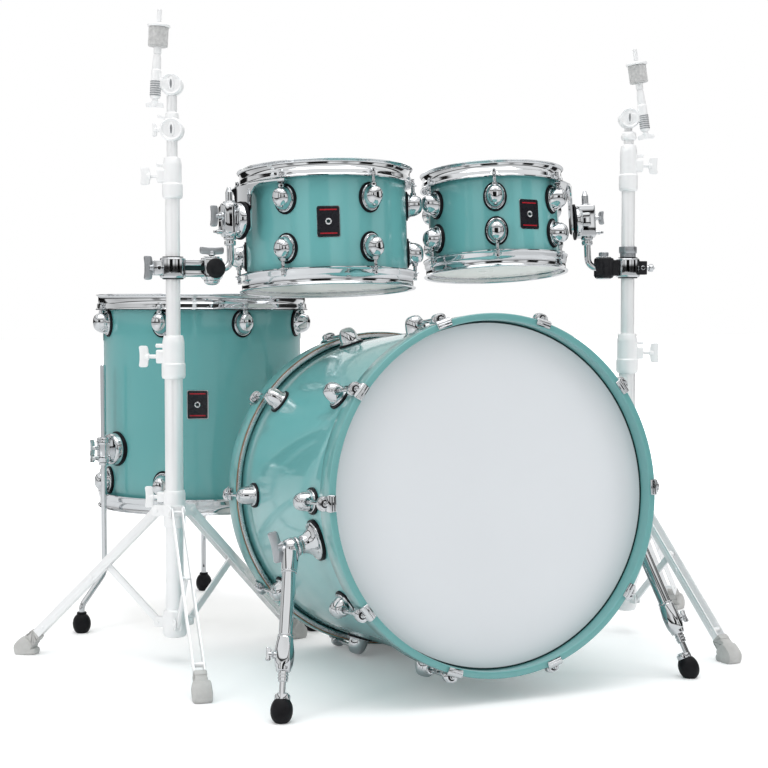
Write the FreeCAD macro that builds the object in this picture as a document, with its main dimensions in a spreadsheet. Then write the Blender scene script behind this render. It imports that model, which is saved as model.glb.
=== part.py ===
"""Acoustic drum kit: bass drum, floor tom and two rack toms hung on two cymbal stands.

Millimetres, +Z up, the audience side faces -Y. The origin is the middle of the kit's
footprint, on the floor. Each drum is drawn about its own axis (local Z) and then placed.
"""
import FreeCAD, Part
import math
import os

V = FreeCAD.Vector
doc = FreeCAD.newDocument("drum_kit")
sheet = doc.addObject("Spreadsheet::Sheet", "kit")

SIZES = {
    # shells: outer radius, depth, height of each lug row from the middle, angle of the first lug
    "bass_radius": 279.0, "bass_depth": 457.0, "bass_lug_row": 146.0, "bass_lug_phase": 0.0,
    "floor_radius": 200.0, "floor_depth": 406.0, "floor_lug_row": 156.0, "floor_lug_phase": 5.9,
    "large_radius": 150.0, "large_depth": 203.0, "large_lug_row": 44.0, "large_lug_phase": 40.4,
    "small_radius": 124.5, "small_depth": 178.0, "small_lug_row": 32.0, "small_lug_phase": 4.7,
    "shell_wall": 7.5,
    # drum heads: film, and the rim that the counter hoop presses down
    "film": 0.8, "rim_gap": 1.2, "rim_width": 5.2, "rim_height": 9.0,
    # pressed steel hoops of the toms
    "hoop_wall": 2.3, "hoop_gap": 7.0, "hoop_rise": 9.5, "hoop_drop": 22.0, "hoop_flange": 5.0,
    "ear_radius": 7.0, "rod_offset": 14.0, "rod_radius": 2.9,
    # wooden hoops of the bass drum, claws and long rods
    "bass_length": 512.0, "bass_hoop_outer": 292.5, "bass_hoop_inner": 281.0,
    "bass_hoop_rabbet": 286.5, "bass_hoop_depth": 42.0, "bass_rod_offset": 18.5,
    "claw_width": 28.0, "claw_plate": 3.6, "claw_lip": 14.0, "claw_cap": 34.0, "claw_ear": 12.0,
    # key heads of the tension rods
    "washer": 1.6, "washer_radius": 4.6, "key_collar": 4.5, "key_square": 6.0, "key_height": 9.0,
    # lugs
    "gasket_width": 44.0, "gasket_height": 55.0, "gasket": 2.4,
    "lug_width": 38.0, "lug_height": 48.0, "lug_flange": 3.0, "lug_dome": 25.0, "bass_lug_dome": 26.0,
    "boss_radius": 7.2, "boss_top": 25.0, "thread_start": 12.0,
    # round brackets on the shells: gasket, base and barrel
    "pad": 3.0, "pad_radius": 34.0, "base_radius": 31.0, "skin_gap": 0.05,
    # where the drums stand
    "bass_x": -31.0, "bass_y": -309.0, "bass_lift": 4.4,
    "floor_x": -264.0, "floor_y": 304.0, "floor_z": 445.4,
    "large_x": -129.7, "large_y": -51.4, "large_z": 773.5, "large_tilt": 4.1,
    "small_x": 203.0, "small_y": -84.7, "small_z": 792.6, "small_tilt": 6.2,
    # bass drum spurs
    "spur_drop_angle": 13.0, "spur_row": 141.0, "spur_reach": 38.0, "spur_tube": 10.8,
    "spur_clamp": 16.0, "spur_rod": 7.5, "spur_half_spread": 368.0, "spur_forward": 247.0,
    "foot_radius": 17.5, "foot_tall": 21.5, "foot_sunk": 4.0,
    # floor tom legs
    "leg_rod": 5.6, "leg_standoff": 31.0, "leg_foot_radius": 282.0, "leg_bracket_z": -91.0,
    "leg_angle_1": 196.4, "leg_angle_2": 302.0, "leg_angle_3": 73.4, "leg_top": 520.0,
    "leg_bend_z": 112.0, "leg_kink_z": 52.0, "running_gap": 0.05,
    # stands
    "left_x": -437.0, "left_y": -97.0, "left_turn": 262.7,
    "right_x": 435.0, "right_y": -197.0, "right_turn": 276.9,
    "base_tube": 15.9, "middle_tube": 12.7, "top_tube": 9.5, "tube_wall": 1.5,
    "hub_z": 72.0, "collar_pivot_z": 272.0, "pivot_radius": 31.0, "stand_foot_radius": 293.0,
    "strip_width": 16.0, "strip": 2.6, "strip_gap": 15.0, "brace": 5.0,
    "pivot_pin": 3.0, "leg_collar_radius": 19.5,
    "height_collar_z": 506.0, "height_collar": 76.0, "collar_radius": 21.0,
    # cymbal tilters
    "cymbal_rod": 4.0, "cymbal_rod_length": 24.0, "thread_relief": 3.6, "cymbal_stem": 5.0,
    "felt_radius": 17.5, "felts": 34.0, "felt_cap": 6.0, "felt_cap_radius": 20.0,
    "disc_radius": 20.0,
    # tom holders
    "arm_rod": 6.35, "holder_standoff": 53.0, "large_mount_lift": 12.0, "small_mount_lift": -4.0,
    "mount_plate": 3.0, "mount_plate_gap": 25.0, "mount_plate_width": 56.0, "mount_plate_low": 22.0,
    "mount_pad_radius": 34.0, "mount_shelf_drop": 27.5, "mount_barrel": 60.0, "hanger_angle": 30.0,
    "arm_tip": 59.0,
    "ball": 15.0, "clamp_height": 36.0, "clamp_radius": 23.0, "housing_radius": 20.0,
    "left_arm_z": 701.0, "right_arm_z": 708.0, "left_ball": 72.0, "right_ball": 47.0,
}
for row, (alias, value) in enumerate(SIZES.items(), start=1):
    sheet.set("A%d" % row, alias)
    sheet.set("B%d" % row, "%g" % value)
    sheet.setAlias("B%d" % row, alias)
doc.recompute()

pieces = []          # the finished sub-parts, in order
places = {}          # joint points and axes, for whoever describes the motion
serial = [0]


def number(formula):
    """Value of a formula of sheet cells."""
    result = sheet.evalExpression(str(formula).replace("kit.", ""))
    return float(getattr(result, "Value", result))


def add(kind, stem="step"):
    """New document object with a serial name."""
    serial[0] += 1
    return doc.addObject(kind, "%s_%d" % (stem, serial[0]))


def bind(thing, **formulas):
    """Bind properties of an object to formulas of sheet cells."""
    for name, formula in formulas.items():
        thing.setExpression(name.replace("__", "."), str(formula))
    return thing


def placed(point=(0, 0, 0), axis=(0, 0, 1)):
    """Placement that puts local Z along axis, at a point."""
    return FreeCAD.Placement(V(*point), FreeCAD.Rotation(V(0, 0, 1), V(*axis)))


def turned(angle):
    return FreeCAD.Placement(V(), FreeCAD.Rotation(V(0, 0, 1), angle))


def polar(angle, radius=1.0, height=0.0):
    """Point at an angle, in degrees, about the Z axis."""
    return V(radius * math.cos(math.radians(angle)), radius * math.sin(math.radians(angle)), height)


def cylinder(radius, height, point=(0, 0, 0), axis=(0, 0, 1)):
    thing = add("Part::Cylinder", "cylinder")
    thing.Placement = placed(point, axis)
    return bind(thing, Radius=radius, Height=height)


def rod(radius, start, end):
    """Cylinder between two points."""
    run = V(*end) - V(*start)
    return cylinder(radius, run.Length, start, run)


def box(length, width, height, centre=(0, 0, 0), turn=None):
    """Box about its centre."""
    thing = add("Part::Box", "box")
    half = V(number(length) / 2, number(width) / 2, number(height) / 2)
    rotation = turn or FreeCAD.Rotation()
    thing.Placement = FreeCAD.Placement(V(*centre) - rotation.multVec(half), rotation)
    return bind(thing, Length=length, Width=width, Height=height)


def fuse(*things):
    joined = add("Part::MultiFuse", "fuse")
    joined.Shapes = list(things)
    return joined


def cut(base, *tools):
    result = add("Part::Cut", "cut")
    result.Base = base
    result.Tool = tools[0] if len(tools) == 1 else fuse(*tools)
    return result


def common(first, second):
    result = add("Part::MultiCommon", "common")
    result.Shapes = [first, second]
    return result


def group(things):
    """Separate solids that stay separate."""
    bundle = add("Part::Compound", "group")
    bundle.Links = list(things)
    return bundle


def copies(master, placements):
    """Links to one master, each at its own placement."""
    links = []
    for placement in placements:
        link = add("App::Link", "copy")
        link.LinkedObject = master
        link.LinkTransform = False
        link.Placement = placement
        links.append(link)
    return links


def ring(outer, inner, height, bottom, point=(0, 0, 0)):
    """Tube about local Z from a bottom height upwards."""
    base = V(*point)
    low = number(bottom)
    body = cylinder(outer, height, (base.x, base.y, base.z + low))
    bore = cylinder(inner, "%s + 2" % height, (base.x, base.y, base.z + low - 1))
    return cut(body, bore)


def keep(label, thing, placement=None):
    """Names a finished sub-part and puts it where it belongs."""
    thing.Label = label
    if placement is not None:
        thing.Placement = placement.multiply(thing.Placement)
    pieces.append(thing)
    return thing


def bent_rod(points, radius, bends):
    """Round rod along straight runs joined by tangent arcs, as one swept solid."""
    points = [V(*point) for point in points]
    edges = []
    start = points[0]
    for corner, after, bend in zip(points[1:-1], points[2:], bends):
        before = (start - corner).normalize()
        onward = (after - corner).normalize()
        half = before.getAngle(onward) / 2
        tangent = bend / math.tan(half)
        middle = (before + onward).normalize()
        first = corner + before * tangent
        last = corner + onward * tangent
        mid = corner + middle * (bend / math.sin(half) - bend)
        edges.append(Part.LineSegment(start, first).toShape())
        edges.append(Part.Arc(first, mid, last).toShape())
        start = last
    edges.append(Part.LineSegment(start, points[-1]).toShape())
    path = Part.Wire(edges)
    profile = Part.Wire([Part.Circle(points[0], points[1] - points[0], radius).toShape()])
    thing = add("Part::Feature", "bent_rod")
    thing.Shape = path.makePipeShell([profile], True, True)
    return thing


def wing_bolt(point, axis, reach, span=36.0):
    """Threaded shank with a flat wing on its end, pointing along axis."""
    tip = V(*point) + V(*axis).normalize() * reach
    shank = rod(4, point, tip)
    turn = FreeCAD.Rotation(V(1, 0, 0), V(*axis))
    wing = box(14, span, 5, tip + V(*axis).normalize() * 5, turn)
    return fuse(shank, wing)


# ---------------------------------------------------------------- drum parts, about local Z

def both_rows(radius, height, phase, count):
    """Placements of a fitting at each lug station, top row then bottom row."""
    rows = []
    for index in range(count):
        spin = turned(phase + index * 360.0 / count)
        rows.append(spin.multiply(FreeCAD.Placement(V(radius, 0, height), FreeCAD.Rotation())))
        flip = FreeCAD.Rotation(V(1, 0, 0), 180)
        rows.append(spin.multiply(FreeCAD.Placement(V(radius, 0, -height), flip)))
    return rows


def mirrored_pair(master, phase):
    """A ring at the top and the same ring upside down, its ears in line with the first's."""
    flip = FreeCAD.Placement(V(), FreeCAD.Rotation(V(1, 0, 0), 180))
    return copies(master, [FreeCAD.Placement(), turned(2 * phase).multiply(flip)])


def shell(name):
    depth = "kit.%s_depth" % name
    radius = "kit.%s_radius" % name
    return ring(radius, radius + " - kit.shell_wall", depth, "-%s / 2" % depth)


def head(name):
    """Film stretched over the shell's edge with the rim that runs round outside it."""
    radius = "kit.%s_radius" % name
    top = number("kit.%s_depth / 2" % name)
    rim_top = "kit.%s_depth / 2 + kit.film" % name
    film = cylinder(radius + " + kit.rim_gap", "kit.film", (0, 0, top))
    rim = ring(radius + " + kit.rim_gap + kit.rim_width", radius + " + kit.rim_gap",
               "kit.rim_height", rim_top + " - kit.rim_height")
    return fuse(film, rim)


def steel_hoop(name, phase, count):
    """Flanged counter hoop: wall, seat on the head's rim, rolled top edge and drilled ears."""
    radius = "kit.%s_radius" % name
    inner = radius + " + kit.hoop_gap"
    outer = inner + " + kit.hoop_wall"
    film_top = "kit.%s_depth / 2 + kit.film" % name
    foot = film_top + " - kit.hoop_drop"
    seat_height = film_top + " + kit.running_gap"
    parts = [
        ring(outer, inner, "kit.hoop_drop + kit.hoop_rise", foot),
        ring(outer, radius + " + 2.5", "kit.hoop_wall", seat_height),
        ring(outer + " + kit.hoop_flange", inner, "kit.hoop_wall", foot),
        ring(outer + " + kit.hoop_flange - 1", inner, "kit.hoop_wall",
             film_top + " + kit.hoop_rise - kit.hoop_wall"),
    ]
    low = number(foot)
    station = number(radius + " + kit.rod_offset")
    holes = []
    for index in range(count):
        spot = polar(phase + index * 360.0 / count, station, low)
        parts.append(cylinder("kit.ear_radius", "kit.hoop_wall", spot))
        holes.append(cylinder("kit.rod_radius + 0.4", "kit.hoop_wall + 2", spot - V(0, 0, 1)))
    wall_clear = ring(inner, radius, "kit.hoop_drop + 1", foot + " - 1")
    return cut(fuse(*parts), wall_clear, *holes)


def tension_rod(ear):
    """Rod with washer and square key head; origin on the lug's boss axis at the lug's middle."""
    start = number("kit.thread_start")
    shank = cylinder("kit.rod_radius", ear - start, (0, 0, start))
    washer = cylinder("kit.washer_radius", "kit.washer", (0, 0, ear))
    collar = cylinder("kit.key_collar", 5, (0, 0, ear))
    square = box("kit.key_square", "kit.key_square", "kit.key_height", (0, 0, ear + 8))
    return fuse(shank, washer, collar, square)


def hoop_ear(name):
    """Height of a tom hoop's ears above its lug row."""
    face = "kit.%s_depth / 2 + kit.film - kit.hoop_drop + kit.hoop_wall" % name
    return number(face + " - kit.%s_lug_row" % name)


def oval(width, height, thickness, offset):
    """Oval plate, flat against the shell; local X points out of the shell."""
    outline = add("Part::Ellipse", "oval")
    bind(outline, MajorRadius=height + " / 2", MinorRadius=width + " / 2")
    outline.Placement = FreeCAD.Placement(
        V(number(offset), 0, 0), FreeCAD.Rotation(V(0, 0, 1), V(0, -1, 0), V(1, 0, 0), "ZXY"))
    plate = add("Part::Extrusion", "plate")
    plate.Base = outline
    plate.DirMode = "Custom"
    plate.Dir = V(1, 0, 0)
    plate.Solid = True
    return bind(plate, LengthFwd=thickness)


def lug(dome, rod_offset):
    """Egg-shaped tension lug on its flange, with the boss that takes the rod."""
    flange = oval("kit.lug_width", "kit.lug_height", "kit.lug_flange", "kit.gasket + 0.1")
    egg = add("Part::Ellipsoid", "egg")
    bind(egg, Radius1=dome, Radius2="kit.lug_height / 2 - 5", Radius3="kit.lug_width / 2 - 4")
    egg.Angle1 = 0
    egg.Placement = placed((number("kit.gasket + kit.lug_flange"), 0, 0), (1, 0, 0))
    boss = cylinder("kit.boss_radius", "kit.boss_top - 4", (number(rod_offset), 0, 4))
    bottom = number("kit.thread_start") - 1
    bore = cylinder("kit.rod_radius + 0.4", "kit.boss_top", (number(rod_offset), 0, bottom))
    return cut(fuse(flange, egg, boss), bore)


def fittings(name, phase, count, rod_offset):
    """Placements of a drum's lugs and rods."""
    row = number("kit.%s_lug_row" % name)
    radius = number("kit.%s_radius" % name)
    return both_rows(radius, row, phase, count), both_rows(radius + number(rod_offset), row, phase, count)


gasket_master = oval("kit.gasket_width", "kit.gasket_height", "kit.gasket", "kit.running_gap")
tom_lug = lug("kit.lug_dome", "kit.rod_offset")
bass_lug = lug("kit.bass_lug_dome", "kit.bass_rod_offset")


# ---------------------------------------------------------------- bass drum

bass_tilt = FreeCAD.Rotation(V(1, 0, 0), 90 - number("kit.bass_lift"))
lift = math.radians(number("kit.bass_lift"))
bass_centre_z = (number("kit.bass_length / 2") * math.sin(lift)
                 + number("kit.bass_hoop_outer") * math.cos(lift))
bass_frame = FreeCAD.Placement(V(number("kit.bass_x"), number("kit.bass_y"), bass_centre_z), bass_tilt)
bass_lugs = 10
hook_gap = 0.3


def bass_hoop():
    """Wooden hoop with the rabbet that takes the head's rim."""
    front = "kit.bass_length / 2"
    shoulder = "kit.bass_depth / 2 + kit.film + kit.running_gap"
    face = ring("kit.bass_hoop_outer", "kit.bass_hoop_inner", "%s - (%s)" % (front, shoulder), shoulder)
    skirt = ring("kit.bass_hoop_outer", "kit.bass_hoop_rabbet",
                 "kit.bass_hoop_depth - (%s) + (%s)" % (front, shoulder),
                 front + " - kit.bass_hoop_depth")
    return fuse(face, skirt)


def claw_ear_face():
    """Height of the claws' ears along the bass drum's axis."""
    return number("kit.bass_length / 2") + hook_gap - 8


def claw():
    """Hook over the hoop with a drilled ear for the rod; local X out, Z towards the hoop's face."""
    outer = number("kit.bass_hoop_outer") + hook_gap
    front = number("kit.bass_length / 2") + hook_gap
    plate, lip_length = number("kit.claw_plate"), number("kit.claw_lip")
    cap_height, ear_height = number("kit.claw_cap"), number("kit.claw_ear")
    reach = number("kit.bass_radius + kit.bass_rod_offset")
    lip = box(lip_length, "kit.claw_width", plate, (outer + plate - lip_length / 2, 0, front + plate / 2))
    cap = box(plate, "kit.claw_width", cap_height, (outer + plate / 2, 0, front + plate - cap_height / 2))
    ear_from, ear_to = outer + plate / 2, reach + 6
    ear = box(ear_to - ear_from, "kit.claw_width - 3", ear_height,
              ((ear_from + ear_to) / 2, 0, claw_ear_face() - ear_height / 2))
    hole = cylinder("kit.rod_radius + 0.4", cap_height, (reach, 0, front - cap_height))
    pocket = cylinder("kit.washer_radius + 0.6", 20, (reach, 0, claw_ear_face()))
    return cut(fuse(lip, cap, ear), hole, pocket)


def bracket_base(thickness):
    """Gasket and round base of a shell bracket, and how far they stand out; local X out of the shell."""
    low = number("kit.skin_gap")
    seat = low + number("kit.pad")
    gasket = cylinder("kit.pad_radius", "kit.pad", (low, 0, 0), (1, 0, 0))
    base = cylinder("kit.base_radius", thickness, (seat, 0, 0), (1, 0, 0))
    return (gasket, base), seat + thickness


def spur_bracket():
    """Round bracket on the shell; local X points out of the shell."""
    pad, base_top = bracket_base(10)
    barrel = cylinder(14, number("kit.spur_reach") - base_top - 0.25, (base_top, 0, 0), (1, 0, 0))
    return group([pad[0], fuse(pad[1], barrel)])


bass_phase = number("kit.bass_lug_phase")
lug_spots, rod_spots = fittings("bass", bass_phase, bass_lugs, "kit.bass_rod_offset")
keep("bass_shell", shell("bass"), bass_frame)
keep("bass_hoops", group(mirrored_pair(bass_hoop(), 0)), bass_frame)
bass_head = head("bass")
flip_over = FreeCAD.Placement(V(), FreeCAD.Rotation(V(1, 0, 0), 180))
keep("bass_head_front", group(copies(bass_head, [FreeCAD.Placement()])), bass_frame)
keep("bass_head_rear", group(copies(bass_head, [flip_over])), bass_frame)
keep("bass_lugs", group(copies(bass_lug, lug_spots)), bass_frame)
bass_rod = tension_rod(claw_ear_face() - number("kit.bass_lug_row"))
keep("bass_tension_rods", group(copies(bass_rod, rod_spots)), bass_frame)
keep("bass_claws", group(copies(claw(), both_rows(0, 0, bass_phase, bass_lugs))), bass_frame)
root_gaskets = [bass_frame.multiply(spot) for spot in lug_spots]

spur_angles = {"left": 180 + number("kit.spur_drop_angle"), "right": -number("kit.spur_drop_angle")}
spur_spots = [turned(angle).multiply(FreeCAD.Placement(
    V(number("kit.bass_radius"), 0, number("kit.spur_row")), FreeCAD.Rotation()))
    for angle in spur_angles.values()]
keep("bass_spur_brackets", group(copies(spur_bracket(), spur_spots)), bass_frame)


def rubber_foot(point):
    """Egg-shaped rubber tip with a flat sole on the floor."""
    egg = add("Part::Ellipsoid", "egg")
    bind(egg, Radius1="kit.foot_tall", Radius2="kit.foot_radius", Radius3="kit.foot_radius")
    egg.Placement = placed((point[0], point[1], number("kit.foot_tall - kit.foot_sunk")))
    below = box(80, 80, 20, (point[0], point[1], -10))
    return cut(egg, below)


def spur(side, spot):
    """Swinging outer tube with its clamp, and the sliding rod with its rubber tip."""
    frame = bass_frame.multiply(spot)
    out = frame.Rotation.multVec(V(1, 0, 0))
    reach = number("kit.spur_reach")
    pivot = frame.Base + out * (reach + 8)
    sign = -1 if side == "left" else 1
    foot = V(number("kit.bass_x") + sign * number("kit.spur_half_spread"),
             number("kit.bass_y - kit.spur_forward"), 34)
    down = (foot - pivot).normalize()
    length = (foot - pivot).Length
    hub = rod(16, frame.Base + out * reach, pivot + out * 10)
    cap = rod(9, pivot + out * 10, pivot + out * 17)
    tube_end = pivot + down * (0.62 * length)
    clamp_end = pivot + down * (0.82 * length)
    tube = rod("kit.spur_tube", pivot + down * 6, tube_end)
    clamp = rod("kit.spur_clamp", tube_end - down * 6, clamp_end)
    bore = rod("kit.spur_rod + kit.running_gap", pivot + down * 26, clamp_end + down * 4)
    outer = cut(fuse(hub, cap, tube, clamp), bore)
    grip = down.cross(V(0, 0, 1)).cross(down).normalize()
    side_way = down.cross(grip)
    middle = (tube_end + clamp_end) * 0.5
    screw = wing_bolt(middle + side_way * (sign * 15), side_way * sign, 10, 24)
    keep("spur_tube_" + side, group([fuse(outer, screw)]))
    stem = rod("kit.spur_rod", pivot + down * (0.30 * length), foot + down * 10)
    tip = cut(rubber_foot(foot), rod("kit.spur_rod", pivot, foot + down * 10))
    keep("spur_rod_" + side, group([stem, tip]))
    places["spur_%s_pivot" % side] = (pivot, out)
    places["spur_%s_slide" % side] = (pivot, down)


for spur_side, spur_spot in zip(spur_angles, spur_spots):
    spur(spur_side, spur_spot)


# ---------------------------------------------------------------- floor tom and rack toms

def tom_drum(prefix, name, frame, count):
    """Shell, hoops, heads, lugs and rods of a tom, placed by its frame."""
    phase = number("kit.%s_lug_phase" % name)
    lugs, rods = fittings(name, phase, count, "kit.rod_offset")
    keep(prefix + "_shell", shell(name), frame)
    keep(prefix + "_hoops", group(mirrored_pair(steel_hoop(name, phase, count), phase)), frame)
    keep(prefix + "_heads", group(mirrored_pair(head(name), 0)), frame)
    keep(prefix + "_lugs", group(copies(tom_lug, lugs)), frame)
    keep(prefix + "_tension_rods", group(copies(tension_rod(hoop_ear(name)), rods)), frame)
    return [frame.multiply(spot) for spot in lugs]


floor_frame = FreeCAD.Placement(V(number("kit.floor_x"), number("kit.floor_y"), number("kit.floor_z")),
                                FreeCAD.Rotation())
root_gaskets += tom_drum("floor_tom", "floor", floor_frame, 8)
leg_angles = [number("kit.leg_angle_%d" % index) for index in (1, 2, 3)]


def leg_bracket():
    """Bracket that clamps a floor tom leg; local X out of the shell, Z up."""
    pad = bracket_base(16)[0]
    standoff = number("kit.leg_standoff")
    block = box(standoff - 8, 22, 36, (standoff / 2 + 3, 0, 0))
    barrel = cylinder(13, 48, (standoff, 0, -24))
    bore = cylinder("kit.leg_rod + kit.running_gap", 60, (standoff, 0, -30))
    screw = wing_bolt((standoff + 11, 0, 4), (1, 0, 0), 14)
    return group([pad[0], fuse(cut(fuse(pad[1], block, barrel), bore), screw)])


def leg_spot(angle):
    return turned(angle).multiply(FreeCAD.Placement(
        V(number("kit.floor_radius"), 0, number("kit.leg_bracket_z")), FreeCAD.Rotation()))


keep("floor_tom_leg_brackets", group(copies(leg_bracket(), [leg_spot(a) for a in leg_angles])), floor_frame)
leg_bends = (30, 26)
for number_of_leg, leg_angle in enumerate(leg_angles, start=1):
    centre = V(number("kit.floor_x"), number("kit.floor_y"), 0)
    stand_off = number("kit.floor_radius + kit.leg_standoff")
    spread = number("kit.leg_foot_radius")
    route = [centre + polar(leg_angle, stand_off, number("kit.leg_top")),
             centre + polar(leg_angle, stand_off, number("kit.leg_bend_z")),
             centre + polar(leg_angle, spread, number("kit.leg_kink_z")),
             centre + polar(leg_angle, spread, 12)]
    leg = bent_rod(route, number("kit.leg_rod"), leg_bends)
    tip_hole = bent_rod(route, number("kit.leg_rod"), leg_bends)
    tip = cut(rubber_foot(centre + polar(leg_angle, spread)), tip_hole)
    keep("floor_tom_leg_%d" % number_of_leg, group([leg, tip]))

keep("lug_gaskets", group(copies(gasket_master, root_gaskets)))


# ---------------------------------------------------------------- stands

def leg_strips(pivot, foot, side_way):
    """Double-strip leg: two flat strips, pivot pin and the block that enters the rubber foot."""
    run = foot - pivot
    along = V(run).normalize()
    turn = FreeCAD.Rotation(along, side_way, along.cross(side_way), "XYZ")
    gap = number("kit.strip_gap + kit.strip")
    centre = (pivot + foot) * 0.5
    strips = [box(run.Length + 12, "kit.strip", "kit.strip_width", centre + side_way * (s * gap / 2), turn)
              for s in (-1, 1)]
    pin = rod("kit.pivot_pin", pivot - side_way * (gap / 2 + 6), pivot + side_way * (gap / 2 + 6))
    block = box(34, "kit.strip_gap", "kit.strip_width - 2", foot - along * 12, turn)
    return fuse(*(strips + [pin, block]))


def stand_foot(foot, along, side_way):
    """Ribbed rubber foot with a flat sole."""
    turn = FreeCAD.Rotation(along, side_way, along.cross(side_way), "XYZ")
    body = box(56, 29, 30, foot + along * 4, turn)
    below = box(120, 120, 60, (foot.x, foot.y, -30))
    pad = rod(17, (foot.x, foot.y, 0), (foot.x, foot.y, 14))
    return cut(fuse(body, pad), below)


def clevis(centre, out, side_way, inner, outer, height):
    """Pair of ears that stand out from a collar, either side of a pivot pin."""
    turn = FreeCAD.Rotation(out, side_way, V(0, 0, 1), "XYZ")
    reach = number("kit.pivot_radius") - 6
    ears = []
    for sign in (-1, 1):
        middle = centre + out * reach + side_way * (sign * (inner + outer) / 2)
        ears.append(box(26, outer - inner, height, middle, turn))
    return ears


def stand(side, heights, tilter):
    """One double-braced stand with its tripod, telescopic tubes and cymbal tilter."""
    base = V(number("kit.%s_x" % side), number("kit.%s_y" % side), 0)
    prefix = side + "_stand_"
    hub_z = number("kit.hub_z")
    pivot_z = number("kit.collar_pivot_z")
    pivot_radius = number("kit.pivot_radius")
    collar_z = number("kit.height_collar_z")
    at = (base.x, base.y, 0)
    angles = [number("kit.%s_turn" % side) + 120 * index for index in range(3)]

    tube = ring("kit.base_tube", "kit.base_tube - kit.tube_wall", collar_z + 20 - 50, 50, at)
    hub = ring(22, "kit.base_tube", 46, hub_z - 22, at)
    ears = []
    hub_holes = []
    for angle in angles:
        out, across = polar(angle), polar(angle + 90)
        ears += clevis(base + V(0, 0, hub_z), out, across, 3.2, 6.4, 18)
        hub_pin = base + V(0, 0, hub_z) + out * pivot_radius
        hub_holes.append(rod("kit.pivot_pin + kit.running_gap", hub_pin - across * 9, hub_pin + across * 9))
    top = ring("kit.collar_radius", "kit.base_tube", 20, collar_z, at)
    guide = ring("kit.collar_radius", "kit.middle_tube + kit.running_gap",
                 "kit.height_collar - 20", collar_z + 20, at)
    bolt_way = polar(heights["bolt_angle"])
    screw = wing_bolt(base + V(0, 0, collar_z + 48) + bolt_way * 19, bolt_way, 16)
    bore = cylinder("kit.base_tube - kit.tube_wall", 900, at)
    frame = cut(fuse(tube, hub, *ears), bore, *hub_holes)
    keep(prefix + "base", group([fuse(frame, top, guide, screw)]))

    sleeve = ring("kit.leg_collar_radius", "kit.base_tube + kit.running_gap", 66, pivot_z - 30, at)
    collar_ears = []
    collar_holes = []
    for angle in angles:
        out, across = polar(angle), polar(angle + 90)
        inner = number("kit.strip_gap / 2 + kit.strip + 0.5")
        collar_ears += clevis(base + V(0, 0, pivot_z), out, across, inner, inner + 3.0, 20)
        leg_pin = base + V(0, 0, pivot_z) + out * pivot_radius
        collar_holes.append(rod("kit.pivot_pin + kit.running_gap",
                                leg_pin - across * 16, leg_pin + across * 16))
    screw = wing_bolt(base + V(0, 0, pivot_z + 24) + bolt_way * 18, bolt_way, 18)
    swept = cylinder("kit.base_tube + kit.running_gap", 200, (base.x, base.y, pivot_z - 60))
    keep(prefix + "leg_collar", group([cut(fuse(sleeve, screw, *collar_ears), swept, *collar_holes)]))

    for index, angle in enumerate(angles, start=1):
        out, across = polar(angle), polar(angle + 90)
        pivot = base + out * pivot_radius + V(0, 0, pivot_z)
        foot = base + out * (number("kit.stand_foot_radius") - 8) + V(0, 0, 21)
        along = (foot - pivot).normalize()
        strips = leg_strips(pivot, foot, across)
        sole = cut(stand_foot(foot, along, across), leg_strips(pivot, foot, across))
        keep("%sleg_%d" % (prefix, index), group([strips, sole]))
        low = base + out * pivot_radius + V(0, 0, hub_z)
        slope = math.atan2((foot - pivot).dot(out), pivot.z - foot.z)
        half_span = (pivot_z - hub_z) / 2 / math.cos(slope)
        high = low + out * (half_span * math.sin(slope)) + V(0, 0, (pivot_z - hub_z) / 2)
        lean = (high - low).normalize()
        turn = FreeCAD.Rotation(lean, across, lean.cross(across), "XYZ")
        bar = box(half_span + 10, "kit.brace", 13, (low + high) * 0.5, turn)
        pins = [rod("kit.pivot_pin", high - across * 7, high + across * 7),
                rod("kit.pivot_pin", low - across * 8.5, low + across * 8.5)]
        keep("%sbrace_%d" % (prefix, index), group([fuse(bar, *pins)]))
        places["%sleg_%d" % (prefix, index)] = (pivot, across)
        places["%sbrace_%d" % (prefix, index)] = (low, across)
        places[side + "_fold"] = (slope, half_span)
    places[side + "_pole"] = (base, V(0, 0, 1))

    upper = heights["upper_collar"]
    middle = ring("kit.middle_tube", "kit.middle_tube - kit.tube_wall", upper + 20 - 320, 320, at)
    cap = ring("kit.collar_radius - 3", "kit.middle_tube", 20, upper, at)
    neck = ring("kit.collar_radius - 3", "kit.top_tube + kit.running_gap",
                heights["upper_height"] - 20, upper + 20, at)
    screw = wing_bolt(base + V(0, 0, upper + heights["upper_height"] * 0.55) + bolt_way * 15, bolt_way, 16)
    bore = cylinder("kit.top_tube + kit.running_gap", 900, (base.x, base.y, upper + 19))
    keep(prefix + "middle_tube", group([cut(fuse(middle, cap, neck, screw), bore)]))

    top_end = heights["disc"]
    toward = V(*tilter["axis"]).normalize()
    pole = rod("kit.top_tube", base + V(0, 0, upper - 130), base + V(0, 0, heights["stem_top"]))
    solids = [pole]
    for lower in heights["extra_discs"]:
        disc_at = base + V(0, 0, lower)
        solids.append(rod(21, disc_at - toward * 13, disc_at + toward * 13))
        solids.append(rod(9, disc_at + V(0, 0, 12), base + V(0, 0, top_end - 22)))
    disc_at_top = base + V(0, 0, top_end)
    solids.append(rod("kit.disc_radius", disc_at_top + toward * 1.3, disc_at_top + toward * 13))
    across = V(0, 0, 1).cross(toward) * tilter["side"]
    upright = FreeCAD.Rotation(across, toward, V(0, 0, 1), "ZYX")
    solids.append(box(16, 11.6, 24, disc_at_top + toward * 7.2 - V(0, 0, 22), upright))
    keep(prefix + "top_tube", group([fuse(*solids)]))

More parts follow.
